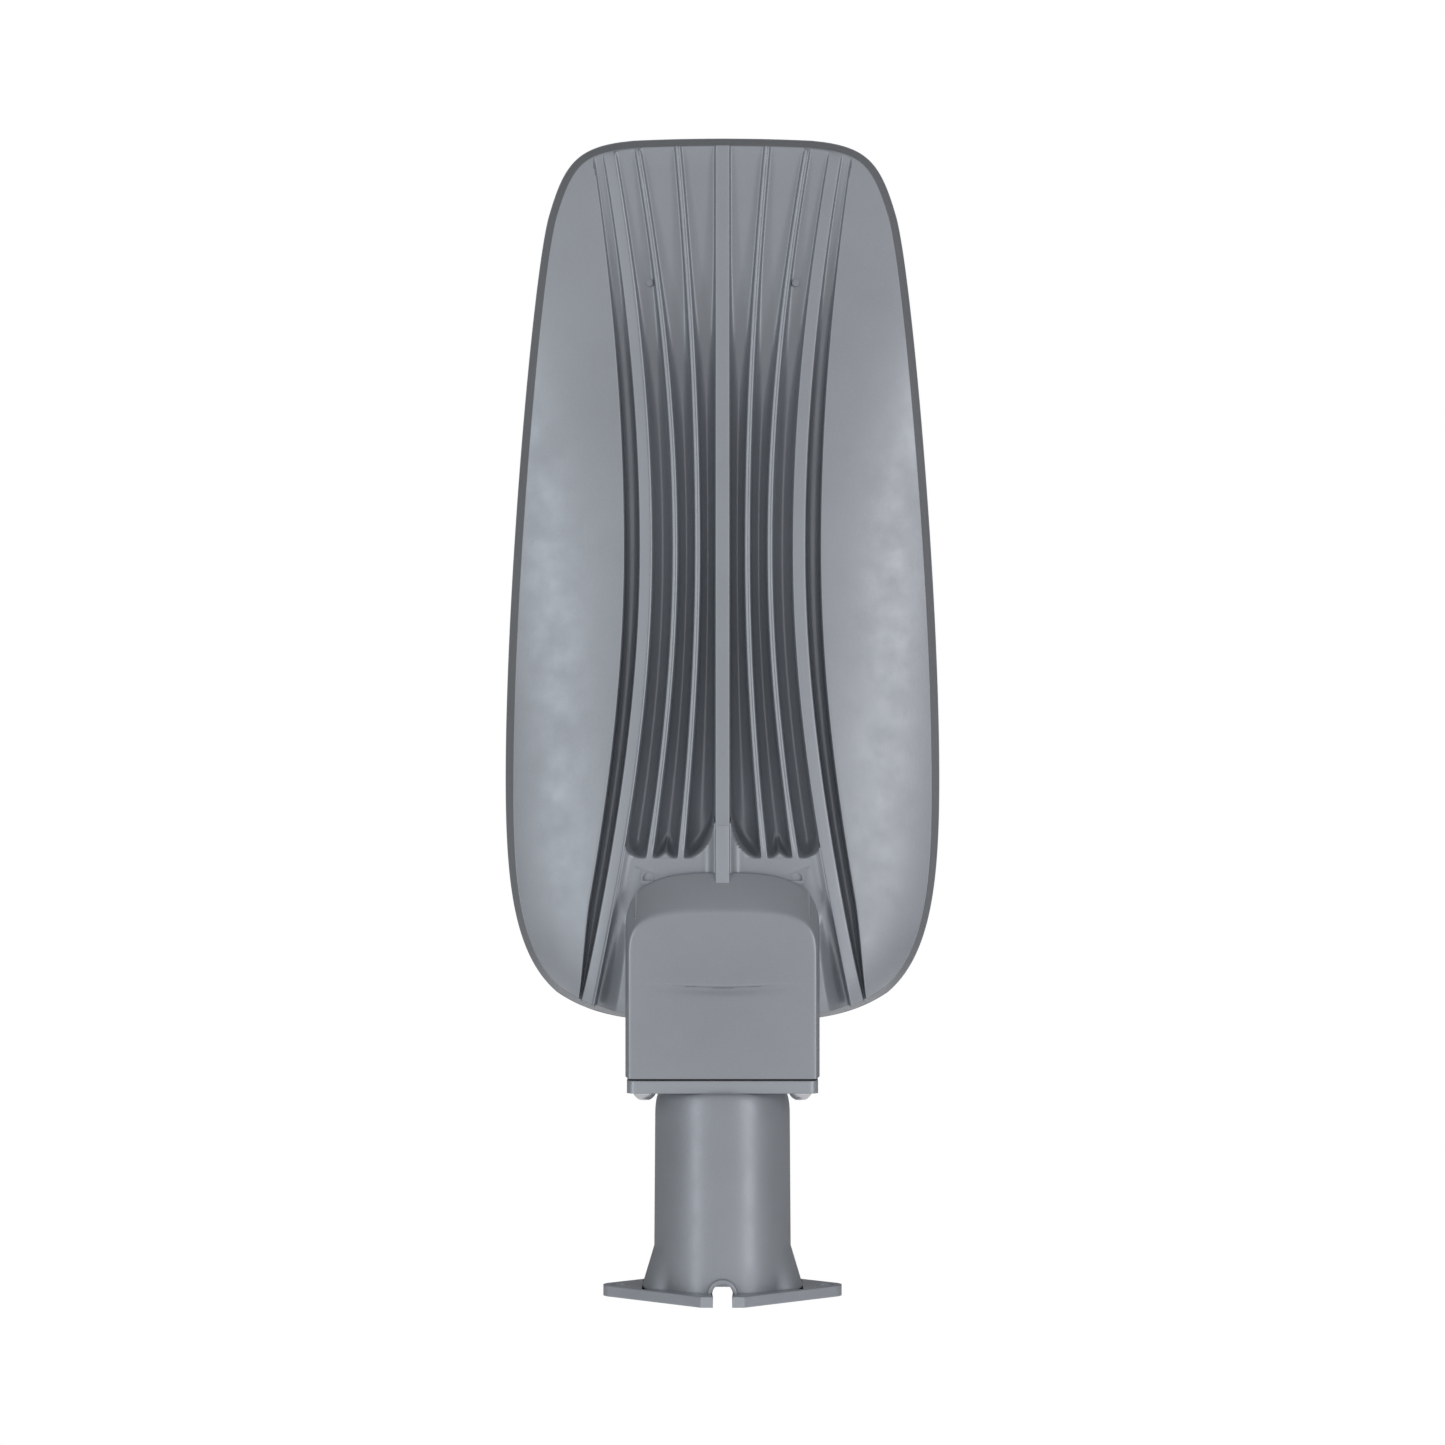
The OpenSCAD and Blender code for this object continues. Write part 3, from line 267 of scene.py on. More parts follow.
def fin_top(x0, x1, step_side, drop, proud=1):
    """Top of a rib with a fine step along one side: 0 none, 1 towards x1, -1 towards x0."""
    w = x1 - x0
    edge = min(1.3, 0.46 * w)
    if step_side > 0:
        raw = [(x1 - edge - 0.25, 0), (x1 - edge, 0.5), (x1 - edge + 0.2, 0.45)]
    elif step_side < 0:
        raw = [(x0 + edge - 0.2, 0.45), (x0 + edge, 0.5), (x0 + edge + 0.25, 0)]
    else:
        raw = [(x0 + w * t, 0) for t in (0.25, 0.5, 0.75)]
    return [(x, drop + d * proud) for x, d in raw]


def half_row(z, half, side, bow):
    """One row of the face from the centre outwards: (x, depth below the crown)."""
    def centre(p):
        return path(p, z + bow(path(p, z) / half))

    rib_half = CENTRE_W / 2
    fin_half = FIN_W / 2
    wide_half = WIDE_W / 2
    fin_in = centre(FIN_IN)
    fin_out = centre(FIN_OUT)
    wide_rib = centre(RIB_WIDE)
    wing_edge = centre(WING)
    # The gutter beside the wide rib is narrower near the head's foot
    gutter_share = mix(0.3, 1, smooth((z - HEAD_Z - 14) / 50))
    wing_edge = wide_rib + wide_half + (wing_edge - wide_rib - wide_half) * gutter_share
    # Above their feet the thin fins rise out of the apron and grow narrower
    low = APRON_DROP * smooth((FIN_FOOT_Z + 62 - z) / 55)
    foot = smooth((FIN_FOOT_Z + 40 - z) / 40)
    fin_half = fin_half * (1 + 0.25 * foot)

    tip = (TIP_Z - z) / HEAD_L
    deeper = TIP_DEEPER * (1 - smooth((tip - 0.25) / 0.25)) * smooth(0.4 + (tip - 0.01) / 0.05)

    def full(x):
        return max(0, FLOOR_Y + deeper - crown(x, z, half))

    def apron(x, from_x):
        return low * math.sqrt(max(0, 1 - (1 - min(1, abs(x - from_x) / APRON_COVE)) ** 2))

    inner_w = (fin_in - fin_half - rib_half) / 2
    mid_w = (fin_out - fin_in - 2 * fin_half) / 2
    outer_w = wide_rib - wide_half - fin_out - fin_half

    def inner(x):
        s = fin_in - fin_half - x
        return max(apron(x, rib_half), full(x) * groove_end(z, s, 2 * inner_w, INNER_RISE))

    def middle(x):
        s = min(x - fin_in - fin_half, fin_out - fin_half - x)
        return max(low, full(x) * groove_end(z, s, mid_w, MIDDLE_RISE))

    def outer(x):
        s = x - fin_out - fin_half
        across = np.clip((x - fin_out) / max(1, wide_rib - wide_half - fin_out), 0, 1)
        valley = VALLEY_DEPTH * smooth((FIN_FOOT_Z - 2 - z) / 60) * across
        return max(apron(x, wide_rib - wide_half), valley, full(x) * groove_end(z, s, outer_w, OUTER_RISE))

    step = 1 if side > 0 else -1
    proud = smooth((z - FIN_FOOT_Z) / 8)
    radius = mix(1.2, COVE_R, smooth((tip - 0.12) / 0.3))
    row = [(0, 0), (rib_half * 0.5, 0)]
    row += groove_points(rib_half, fin_in - fin_half, inner, (0, low), radius)
    row += fin_top(fin_in - fin_half, fin_in + fin_half, step, low, proud)
    row += groove_points(fin_in + fin_half, fin_out - fin_half, middle, (low, low), radius)
    row += fin_top(fin_out - fin_half, fin_out + fin_half, step, low, proud)
    row += groove_points(fin_out + fin_half, wide_rib - wide_half, outer, (low, 0), radius)
    row += fin_top(wide_rib - wide_half, wide_rib + wide_half, -1 if side < 0 else 0, 0)
    row += groove_points(wide_rib + wide_half, wing_edge, full, (0, 0), min(radius, 3))
    shares = [0.04, 0.12, 0.25, 0.4, 0.55, 0.7, 0.82, 0.9, 0.95, 0.98]
    row += [(mix(wing_edge, half, t), 0) for t in shares]
    row.append((half, 0))
    # Where the face is narrow, the outermost points stay a little apart
    n = len(row) - 1
    return [(min(x, half - 0.06 * (n - k)), d) for k, (x, d) in enumerate(row)]


def row_table():
    """Heights and half-widths of the rows, close together where the shape turns quickly."""
    first = 4
    last = SIDE_STEPS - 4
    steps = np.linspace(last, first, 4 * (last - first) + 1)
    side = np.array([inset_point(i, skirt_inset(i)) for i in steps])
    extra = np.arange(FIN_FOOT_Z - 6, FIN_FOOT_Z + 26, 0.7)
    wide = np.arange(side[0][1], side[-1][1], 1.5)
    heights = np.sort(np.concatenate((side[:, 1], extra, wide)))
    keep = [side[0][1]]
    for z in heights:
        if z - keep[-1] > 0.45 and z < side[-1][1] - 0.3:
            keep.append(z)
    keep.append(side[-1][1])
    insets = [skirt_inset(i) for i in steps]
    return [(z, float(np.interp(z, side[:, 1], side[:, 0])), float(np.interp(z, side[:, 1], insets)))
            for z in keep]


def face_grid():
    """The finned face as a grid of points, and the rim's inset at each of them."""
    rows = row_table()
    low_z, low_half, low_inset = rows[0]
    high_z, _, high_inset = rows[-1]
    foot_reach = (low_z - HEAD_Z - low_inset) / (1 - (BAY_W / 2 / low_half) ** 4)
    tip_reach = TIP_Z - high_inset - high_z
    grid = []
    insets = []
    for z, half, inset in rows:
        tip = smooth((z - high_z + 30) / 30) * tip_reach
        foot = smooth((low_z + 45 - z) / 45) * foot_reach

        def bow(u):
            return tip * (1 - u * u) - foot * (1 - u ** 4)

        line = []
        for side in (-1, 1):
            pts = []
            for x, d in half_row(z, half, side, bow):
                y = min(crown(x, z, half) + d, FACE_Y + 1.1)
                pts.append((side * x, y, z + bow(x / half)))
            line.append(pts)
        grid.append(line[0][:0:-1] + line[1])
        insets.append([inset] * len(grid[-1]))
    return np.array(grid), np.array(insets)


def border(grid):
    """Values round the face's edge, starting at the lower left corner and going right."""
    return np.concatenate((grid[0], grid[1:, -1], grid[-1, -2::-1], grid[-2:0:-1, 0]))


def add_strip(bm, rings, closed):
    """Faces between rings of vertices with equal counts."""
    verts = [[bm.verts.new(Vector(p) * MM) for p in ring] for ring in rings]
    for a, b in zip(verts, verts[1:]):
        count = len(a) if closed else len(a) - 1
        for k in range(count):
            n = (k + 1) % len(a)
            bm.faces.new((a[k], a[n], b[n], b[k]))
    return verts


def add_face(bm):
    add_strip(bm, face_grid()[0], False)


def add_skirt(bm):
    """Slope round the face, from its edge out to the rim and down to the rim's level."""
    grid, insets = face_grid()
    ring = border(grid)
    inset = border(insets)[:, None]
    # Two places on and back, because three points coincide where a rib's edge runs out
    after = np.roll(ring, -2, axis=0)
    before = np.roll(ring, 2, axis=0)
    run = after - before
    length = np.hypot(run[:, 0], run[:, 2])
    out = np.stack((run[:, 2] / length, np.zeros(len(ring)), -run[:, 0] / length), axis=1)
    rings = [ring]
    profile = ((0.05, 0.004), (0.09, 0.02), (0.12, 0.05), (0.5, 0.48), (0.9, 0.95), (1.0, 0.97), (1.0, 1.0))
    for share, level in profile:
        p = ring + out * inset * share
        p[:, 1] = mix(ring[:, 1], RIM_Y, level)
        rings.append(p)
    add_strip(bm, rings, True)


# ---------------------------------------------------------------- battery bay

def arch(half_w, side_z, top_z, power, rows_below, steps=40):
    """Half of an arched outline, from the bottom up the side and over to the centre line."""
    pts = [(half_w, z) for z in np.linspace(BAY_Z, side_z, rows_below)]
    for k in range(1, steps + 1):
        t = math.radians(90) * k / steps
        rise = math.sin(t) ** (2 / power)
        pts.append((half_w * math.cos(t) ** (2 / power), side_z + (top_z - side_z) * rise))
    return pts


def panel_level(x, z):
    """Back of the bay: flat below, leaning back above, with a shallow curved crease between."""
    lean = max(0, z - BAY_SEAT) / BAY_SLOPE_L * BAY_LEAN
    crease_z = BAY_Z + 48.5 - 2.2 * (1 - (x / 39) ** 2)
    fade = max(0, 1 - (x / 41) ** 2) ** 1.2
    below = crease_z - z
    spread = 3.2 if below > 0 else 0.7
    return BACK_Y + lean + 1.9 * fade * math.exp(-(below / spread) ** 2)


def add_bay(bm):
    """The bay's walls as arched rings from the head to its back, and the panel in the last ring."""
    half_w = BAY_W / 2
    rows_below = 90
    shoulder = BAY_TOP - 33
    crown_level = FACE_Y - CROWN_H
    # Half-width, top of the straight sides, top of the arch, arch power and level
    shapes = [
        (half_w, shoulder, BAY_TOP, 3.0, FLOOR_Y),
        (half_w, shoulder, BAY_TOP, 3.0, crown_level + 0.9),
        (half_w - 0.1, shoulder, BAY_TOP - 0.3, 3.0, crown_level + 0.2),
        (half_w - 0.4, shoulder - 0.2, BAY_TOP - 0.9, 3.0, crown_level - 0.4),
        (half_w - 1.6, BAY_TOP - 42, BAY_TOP - 16.8, 3.1, BACK_Y + 5.2),
        (half_w - 1.8, BAY_TOP - 43, BAY_TOP - 18.2, 3.2, BACK_Y + 4.4),
        (half_w - 2.3, BAY_TOP - 43.4, BAY_TOP - 19.2, 3.2, None),
        (half_w - 3.2, BAY_TOP - 43.8, BAY_TOP - 20.2, 3.2, None),
    ]
    rings = []
    for w, side_z, top_z, power, level in shapes:
        right = []
        for x, z in arch(w, side_z, top_z, power, rows_below):
            if level is None:
                y = panel_level(x, z) + (0.25 if w > half_w - 3 else 0)
            elif level < BACK_Y + 6:
                down = (BAY_TOP - 18 - z) / BAY_SLOPE_L * BAY_LEAN
                y = level - max(0, min(BAY_LEAN, down)) + 0.25
            else:
                y = level
            right.append((x, y, z))
        left = [(-x, y, z) for x, y, z in right[:-1]]
        rings.append(left + right[::-1])
    add_strip(bm, [r[::-1] for r in rings], False)

    edge = rings[-1]
    n = len(edge) // 2
    rows = []
    for k in range(n + 1):
        a = edge[k]
        b = edge[len(edge) - 1 - k]
        rows.append([(mix(a[0], b[0], t), panel_level(mix(a[0], b[0], t), a[2]), a[2])
                     for t in np.linspace(0, 1, 61)])
    add_strip(bm, rows, False)


def add_bay_sides(bm):
    """Flat sides of the bay below the head, back to the door's seat."""
    for x in (-BAY_W / 2, BAY_W / 2):
        rows = [[(x, y, z) for z in np.linspace(BAY_Z, HEAD_Z + 12, 14)]
                for y in (FLOOR_Y, FLOOR_Y + 6, FLOOR_Y + 13, RIM_Y - 4)]
        add_strip(bm, rows, False)


def add_centre_rib_end(bm):
    """The centre rib runs on over the bay's upper slope."""
    w = CENTRE_W / 2
    z0 = BAY_TOP - 7
    z1 = BAY_TOP + 24
    y_top = FACE_Y - CROWN_H - 3.2
    sections = []
    run = 14
    for z, soft in ((z0, 0.8), (z0 + 0.3, 0.3), (z0 + 0.9, 0), (z1 - run, 0), (z1, 0)):
        rise = max(0, z - (z1 - run)) / run * 3.0
        y = y_top + soft + rise
        right = [(w - 0.5, y, z), (w - 0.15, y + 0.15, z), (w, y + 0.5, z), (w, y + 9, z)]
        left = [(-x, level, height) for x, level, height in right[::-1]]
        sections.append(left + right)
    add_strip(bm, sections, False)
    foot = sections[0]
    bm.faces.new([bm.verts.new(Vector(p) * MM) for p in foot])


# ---------------------------------------------------------------- housing

def inner_housing():
    """The housing's mesh without its outer back: cavity, recesses, rim face, bosses and holes."""
    bm = bmesh.new()
    bm.from_mesh(cad_nodes["housing"].data)
    bm.normal_update()
    tree = BVHTree.FromBMesh(bm)
    back = Vector((0, -1, 0))
    outer = []
    for face in bm.faces:
        centre = face.calc_center_median()
        bottom = face.normal.z < -0.99 and centre.z < (BAY_Z + 0.1) * MM
        if face.normal.y > 0.5 or bottom:
            continue
        start = centre + face.normal * 0.1 * MM
        if tree.ray_cast(start, back)[0] is None:
            outer.append(face)
    bmesh.ops.delete(bm, geom=outer, context="FACES")
    mesh = bpy.data.meshes.new("housing_inside")
    bm.to_mesh(mesh)
    bm.free()
    return mesh


# ---------------------------------------------------------------- pole adaptor

def tube_radius(turn, z):
    """Radius of the spigot's outer skin at angle turn from +X, with a flared foot on both sides."""
    top = TUBE_TOP
    draft = mix(FOOT_R, FOOT_R - 0.6, (z - FLANGE_T) / (top - FLANGE_T))
    if z > top:
        share = (z - top) / (PLATE_Z - top)
        draft = NECK_R + (draft - NECK_R) * math.sqrt(max(0, 1 - share ** 2.2))
    off_side = math.degrees(math.acos(min(1, abs(math.cos(turn)))))
    flare = max(0, GUSSET_TOP - z) / (GUSSET_TOP - FLANGE_T)
    return draft + GUSSET_REACH * flare * smooth((40 - off_side) / 22)


def add_tube(bm):
    """Outer skin of the spigot, open on the light side and round the cable notch."""
    first = math.radians(SKIN_FROM)
    last = math.radians(SKIN_TO)
    low = np.linspace(FLANGE_T - 0.5, GUSSET_TOP, 22)
    heights = np.concatenate((low, np.linspace(GUSSET_TOP + 2, TUBE_TOP, 16), TUBE_TOP
                              + (PLATE_Z + 0.2 - TUBE_TOP) * np.sin(np.radians(np.linspace(4, 90, 22)))))
    turns = np.linspace(first, last, 200)
    verts = []
    for z in heights:
        radii = [tube_radius(t, min(z, PLATE_Z)) for t in turns]
        verts.append([bm.verts.new(Vector((r * math.cos(t), r * math.sin(t), z)) * MM)
                      for r, t in zip(radii, turns)])
    for a, b in zip(verts, verts[1:]):
        for k in range(len(turns) - 1):
            corners = (a[k], a[k + 1], b[k + 1], b[k])
            centre = sum((v.co for v in corners), Vector()) / 4 / MM
            if math.hypot(centre.x, centre.z - NOTCH_Z) > NOTCH_R + 1.0 or centre.y > 0:
                bm.faces.new(corners)
    bmesh.ops.delete(bm, geom=[v for v in bm.verts if not v.link_faces], context="VERTS")


def add_notch_bead(bm):
    """Rounded bead round the cable notch, from the flange up and over."""
    rings = []
    for k in range(33):
        t = math.radians(-8 + 196 * k / 32)
        ring = []
        for j in range(16):
            q = math.radians(360 * j / 16)
            out = NOTCH_R + 1.35 + BEAD_R * math.cos(q)
            depth = -FOOT_R - 0.2 + BEAD_RISE * math.sin(q)
            ring.append((out * math.cos(t), depth, NOTCH_Z + out * math.sin(t)))
        rings.append(ring)
    add_strip(bm, rings, True)


def adaptor_rest(node):
    """A node's CAD mesh without the spigot's outer skin."""
    bm = bmesh.new()
    bm.from_mesh(cad_nodes[node].data)
    bm.normal_update()
    skin = []
    for face in bm.faces:
        c = face.calc_center_median() / MM
        away = face.normal.x * c.x + face.normal.y * c.y > 0.3 * math.hypot(c.x, c.y)
        on_tube = NECK_R - 3 < math.hypot(c.x, c.y) < FOOT_R + GUSSET_REACH + 3
        slope = on_tube and c.z < GUSSET_TOP and face.normal.z > 0.05 and c.z > FLANGE_T + 0.1
        if FLANGE_T + 0.1 < c.z < PLATE_Z - 0.05 and on_tube and (away or slope) and c.y < SKIN_SIDE_Y:
            skin.append(face)
    bmesh.ops.delete(bm, geom=skin, context="FACES")
    mesh = bpy.data.meshes.new(node + "_rest")
    bm.to_mesh(mesh)
    bm.free()
    piece = bpy.data.objects.new(node + "_rest", mesh)
    bpy.context.scene.collection.objects.link(piece)
    return piece


def make_adaptor(finish, soft_finish):
    """Spigot with a flared foot, the bead round its notch, and the CAD's other faces."""
    bm = bmesh.new()
    add_tube(bm)
    tube = make_object("spigot_skin", bm, 35)
    bm = bmesh.new()
    add_notch_bead(bm)
    bead = make_object("notch_bead", bm, 60)
    rest = [adaptor_rest("spigot_adaptor"), adaptor_rest("adaptor_plate")]
    for piece in [tube, bead] + rest:
        piece.data.materials.clear()
        piece.data.materials.append(soft_finish if piece in rest else finish)
        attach(piece, "lamp")
    for piece in (tube, bead, rest[0]):
        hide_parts("spigot_adaptor")
    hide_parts("adaptor_plate")


def make_object(name, bm, angle):
    """Object with smooth faces, sharp where they meet at more than angle degrees."""
    mesh = bpy.data.meshes.new(name)
    bmesh.ops.remove_doubles(bm, verts=bm.verts, dist=0.004 * MM)
    bmesh.ops.recalc_face_normals(bm, faces=bm.faces)
    bm.to_mesh(mesh)
    bm.free()
    mesh.shade_smooth()
    mesh.set_sharp_from_angle(angle=math.radians(angle))
    piece = bpy.data.objects.new(name, mesh)
    bpy.context.scene.collection.objects.link(piece)
    return piece


def make_housing(finish, rim_painted_shade_finish):
    """Finned face, rim, bay and centre rib's end, with the CAD's inner faces."""
    bm = bmesh.new()
    add_face(bm)
    face = make_object("housing_back", bm, 180)
    face.modifiers.new("even_shading", "WEIGHTED_NORMAL").weight = 100
    bm = bmesh.new()
    add_skirt(bm)
    skirt = make_object("housing_rim", bm, 35)
    bm = bmesh.new()
    add_bay(bm)
    add_bay_sides(bm)
    bay = make_object("housing_bay", bm, 50)
    bm = bmesh.new()
    add_centre_rib_end(bm)
    rib = make_object("housing_rib_end", bm, 50)
    inside = bpy.data.objects.new("housing_inside", inner_housing())
    bpy.context.scene.collection.objects.link(inside)
    for piece in (face, skirt, bay, rib, inside):
        piece.data.materials.clear()
        # The rim's slope gets the darker coat, which is painted shade.
        piece.data.materials.append(rim_painted_shade_finish if piece is skirt else finish)
        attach(piece, "lamp")
        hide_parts("housing")


# ---------------------------------------------------------------- materials

class Shader:
    """A material's node tree with short calls for the nodes that the finishes share."""

    def __init__(self, name):
        self.material = bpy.data.materials.new(name)
        self.material.use_nodes = True
        self.tree = self.material.node_tree
        self.surface = self.tree.nodes["Principled BSDF"]
        self.place = self.node("ShaderNodeTexCoord").outputs["Object"]

    def node(self, kind, **settings):
        made = self.tree.nodes.new(kind)
        for key, value in settings.items():
            setattr(made, key, value)
        return made

    def join(self, source, target):
        self.tree.links.new(source, target)

    def noise(self, scale, detail=3.0, rough=0.55, stretch=None):
        made = self.node("ShaderNodeTexNoise")
        made.inputs["Scale"].default_value = scale
        made.inputs["Detail"].default_value = detail
        made.inputs["Roughness"].default_value = rough
        place = self.place
        if stretch:
            mapping = self.node("ShaderNodeMapping")
            mapping.inputs["Scale"].default_value = stretch
            self.join(place, mapping.inputs["Vector"])
            place = mapping.outputs["Vector"]
        self.join(place, made.inputs["Vector"])
        return made.outputs["Fac"]

    def span(self, source, low, high, start=0.3, end=0.7):
        made = self.node("ShaderNodeMapRange")
        made.inputs["From Min"].default_value = start
        made.inputs["From Max"].default_value = end
        made.inputs["To Min"].default_value = low
        made.inputs["To Max"].default_value = high
        self.join(source, made.inputs["Value"])
        return made.outputs["Result"]

    def blend(self, factor, first, second, mode="MIX"):
        made = self.node("ShaderNodeMix", data_type="RGBA", blend_type=mode)
        self.put(factor, made.inputs["Factor"])
        self.put(first, made.inputs[6])
        self.put(second, made.inputs[7])
        return made.outputs[2]

    def put(self, value, socket):
        if isinstance(value, (int, float)):
            socket.default_value = value
        elif isinstance(value, tuple):
            socket.default_value = (*value, 1.0)
        else:
            self.join(value, socket)

    def edges(self, low=0.5, high=0.56):
        """1 on outer edges, 0 elsewhere."""
        geometry = self.node("ShaderNodeNewGeometry")
        return self.span(geometry.outputs["Pointiness"], 0.0, 1.0, low, high)

    def bump(self, height, strength, distance, under=None):
        made = self.node("ShaderNodeBump")
        made.inputs["Strength"].default_value = strength
        made.inputs["Distance"].default_value = distance
        self.join(height, made.inputs["Height"])
        if under:
            self.join(under, made.inputs["Normal"])
        return made.outputs["Normal"]

    def soften(self, radius):
        made = self.node("ShaderNodeBevel", samples=4)
        made.inputs["Radius"].default_value = radius
        return made.outputs["Normal"]


def painted(name, colour, rough=0.38, metal=0.38, soften=0.0006, grain=0.05, edge_highlight_share=0.35):
    """Powder coat on a casting: soft mottling, orange peel and a painted highlight along sharp edges."""
    s = Shader(name)
    dark = tuple(c * 0.93 for c in colour)
    light = tuple(min(1, c * 1.06) for c in colour)
    cloudy = s.blend(s.span(s.noise(9, 4), 0, 1), dark, light)
    speck = s.blend(s.span(s.noise(1400, 2), 0, 0.35, 0.55, 0.75), cloudy, tuple(c * 1.22 for c in colour))
    # Sharp edges turn lighter: a painted highlight along the edges.
    edge_highlight_colour = tuple(min(1, c * 1.45) for c in colour)
    edge_highlighted = s.blend(s.span(s.edges(0.51, 0.58), 0, edge_highlight_share, 0, 1), speck, edge_highlight_colour)
    s.join(edge_highlighted, s.surface.inputs["Base Color"])
    s.join(s.span(s.noise(60, 3), rough - 0.05, rough + 0.06), s.surface.inputs["Roughness"])
    s.surface.inputs["Metallic"].default_value = metal
    base = s.soften(soften) if soften else None
    peel = s.bump(s.noise(520, 2), grain, 0.0006, base)
    s.join(s.bump(s.noise(2600, 2), grain * 0.8, 0.0002, peel), s.surface.inputs["Normal"])
    return s.material


def metal_finish(name, colour, rough, stretch=(1, 1, 12)):
    """Bare or plated metal with fine turning marks, a little stain and a painted highlight along sharp
    edges.
    """
    s = Shader(name)
    stained = s.blend(s.span(s.noise(140, 4), 0, 0.5), colour, tuple(c * 0.7 for c in colour))
    # Sharp edges turn lighter: a painted highlight along the edges.
    edge_highlighted_metal = s.blend(s.span(s.edges(), 0, 0.5, 0, 1), stained, tuple(min(1, c * 1.3) for c in colour))
    s.join(edge_highlighted_metal, s.surface.inputs["Base Color"])
    s.surface.inputs["Metallic"].default_value = 1.0
    stain = s.noise(300, 3, stretch=stretch)
    s.join(s.span(stain, rough - 0.07, rough + 0.1), s.surface.inputs["Roughness"])
    marks = s.noise(900, 2, stretch=stretch)
    s.join(s.bump(marks, 0.12, 0.0002, s.soften(0.0003)), s.surface.inputs["Normal"])
    return s.material


def moulded(name, colour, rough=0.45, grain_scale=1500, strength=0.08, soften=0.0003):
    """Moulded plastic, rubber or lacquer with a fine grain, slight colour change and a painted highlight
    along sharp edges.
    """
    s = Shader(name)
    varied = s.blend(s.span(s.noise(40, 3), 0, 1), tuple(c * 0.88 for c in colour),
                     tuple(min(1, c * 1.1) for c in colour))
    # Sharp edges turn lighter: a painted highlight along the edges.
    edge_highlighted_moulding = s.blend(s.span(s.edges(), 0, 0.3, 0, 1), varied, tuple(min(1, c * 1.5 + 0.03) for c in colour))
    s.join(edge_highlighted_moulding, s.surface.inputs["Base Color"])
    s.join(s.span(s.noise(90, 3), rough - 0.06, rough + 0.08), s.surface.inputs["Roughness"])
    s.join(s.bump(s.noise(grain_scale, 2), strength, 0.0002, s.soften(soften)), s.surface.inputs["Normal"])
    return s.material


def clear(name, colour, rough, alpha, ripple=0.02):
    """Clear sheet or moulding with faint ripple and dust, that lets light through to what is behind."""
    s = Shader(name)
    dusty = s.blend(s.span(s.noise(260, 4), 0, 0.25, 0.5, 0.8), colour, tuple(c * 0.9 for c in colour))
    s.join(dusty, s.surface.inputs["Base Color"])
    s.surface.inputs["IOR"].default_value = 1.5
    s.join(s.span(s.noise(180, 4), alpha * 0.85, alpha * 1.2), s.surface.inputs["Alpha"])
    s.join(s.span(s.noise(70, 3), rough, rough + 0.05), s.surface.inputs["Roughness"])
    s.join(s.bump(s.noise(45, 2), ripple, 0.001), s.surface.inputs["Normal"])
    return s.material


def circuit_board(name, colour):
    """Solder mask over faint copper tracks."""
    s = Shader(name)
    tracks = s.node("ShaderNodeTexBrick")
    tracks.inputs["Scale"].default_value = 220
    tracks.inputs["Mortar Size"].default_value = 0.012
    tracks.inputs["Color1"].default_value = (*colour, 1)
    tracks.inputs["Color2"].default_value = (*[c * 0.92 for c in colour], 1)
    tracks.inputs["Mortar"].default_value = (*[min(1, c * 1.25 + 0.01) for c in colour], 1)
    turn = s.node("ShaderNodeMapping")
    turn.inputs["Rotation"].default_value = (math.radians(90), 0, 0)
    s.join(s.place, turn.inputs["Vector"])
    s.join(turn.outputs["Vector"], tracks.inputs["Vector"])
    dark = tuple(c * 0.8 for c in colour)
    mottled = s.blend(s.span(s.noise(120, 3), 0, 0.35), tracks.outputs["Color"], dark)
    s.join(mottled, s.surface.inputs["Base Color"])
    s.join(s.span(s.noise(300, 2), 0.3, 0.42), s.surface.inputs["Roughness"])
    s.join(s.bump(tracks.outputs["Fac"], 0.15, 0.0001), s.surface.inputs["Normal"])
    return s.material


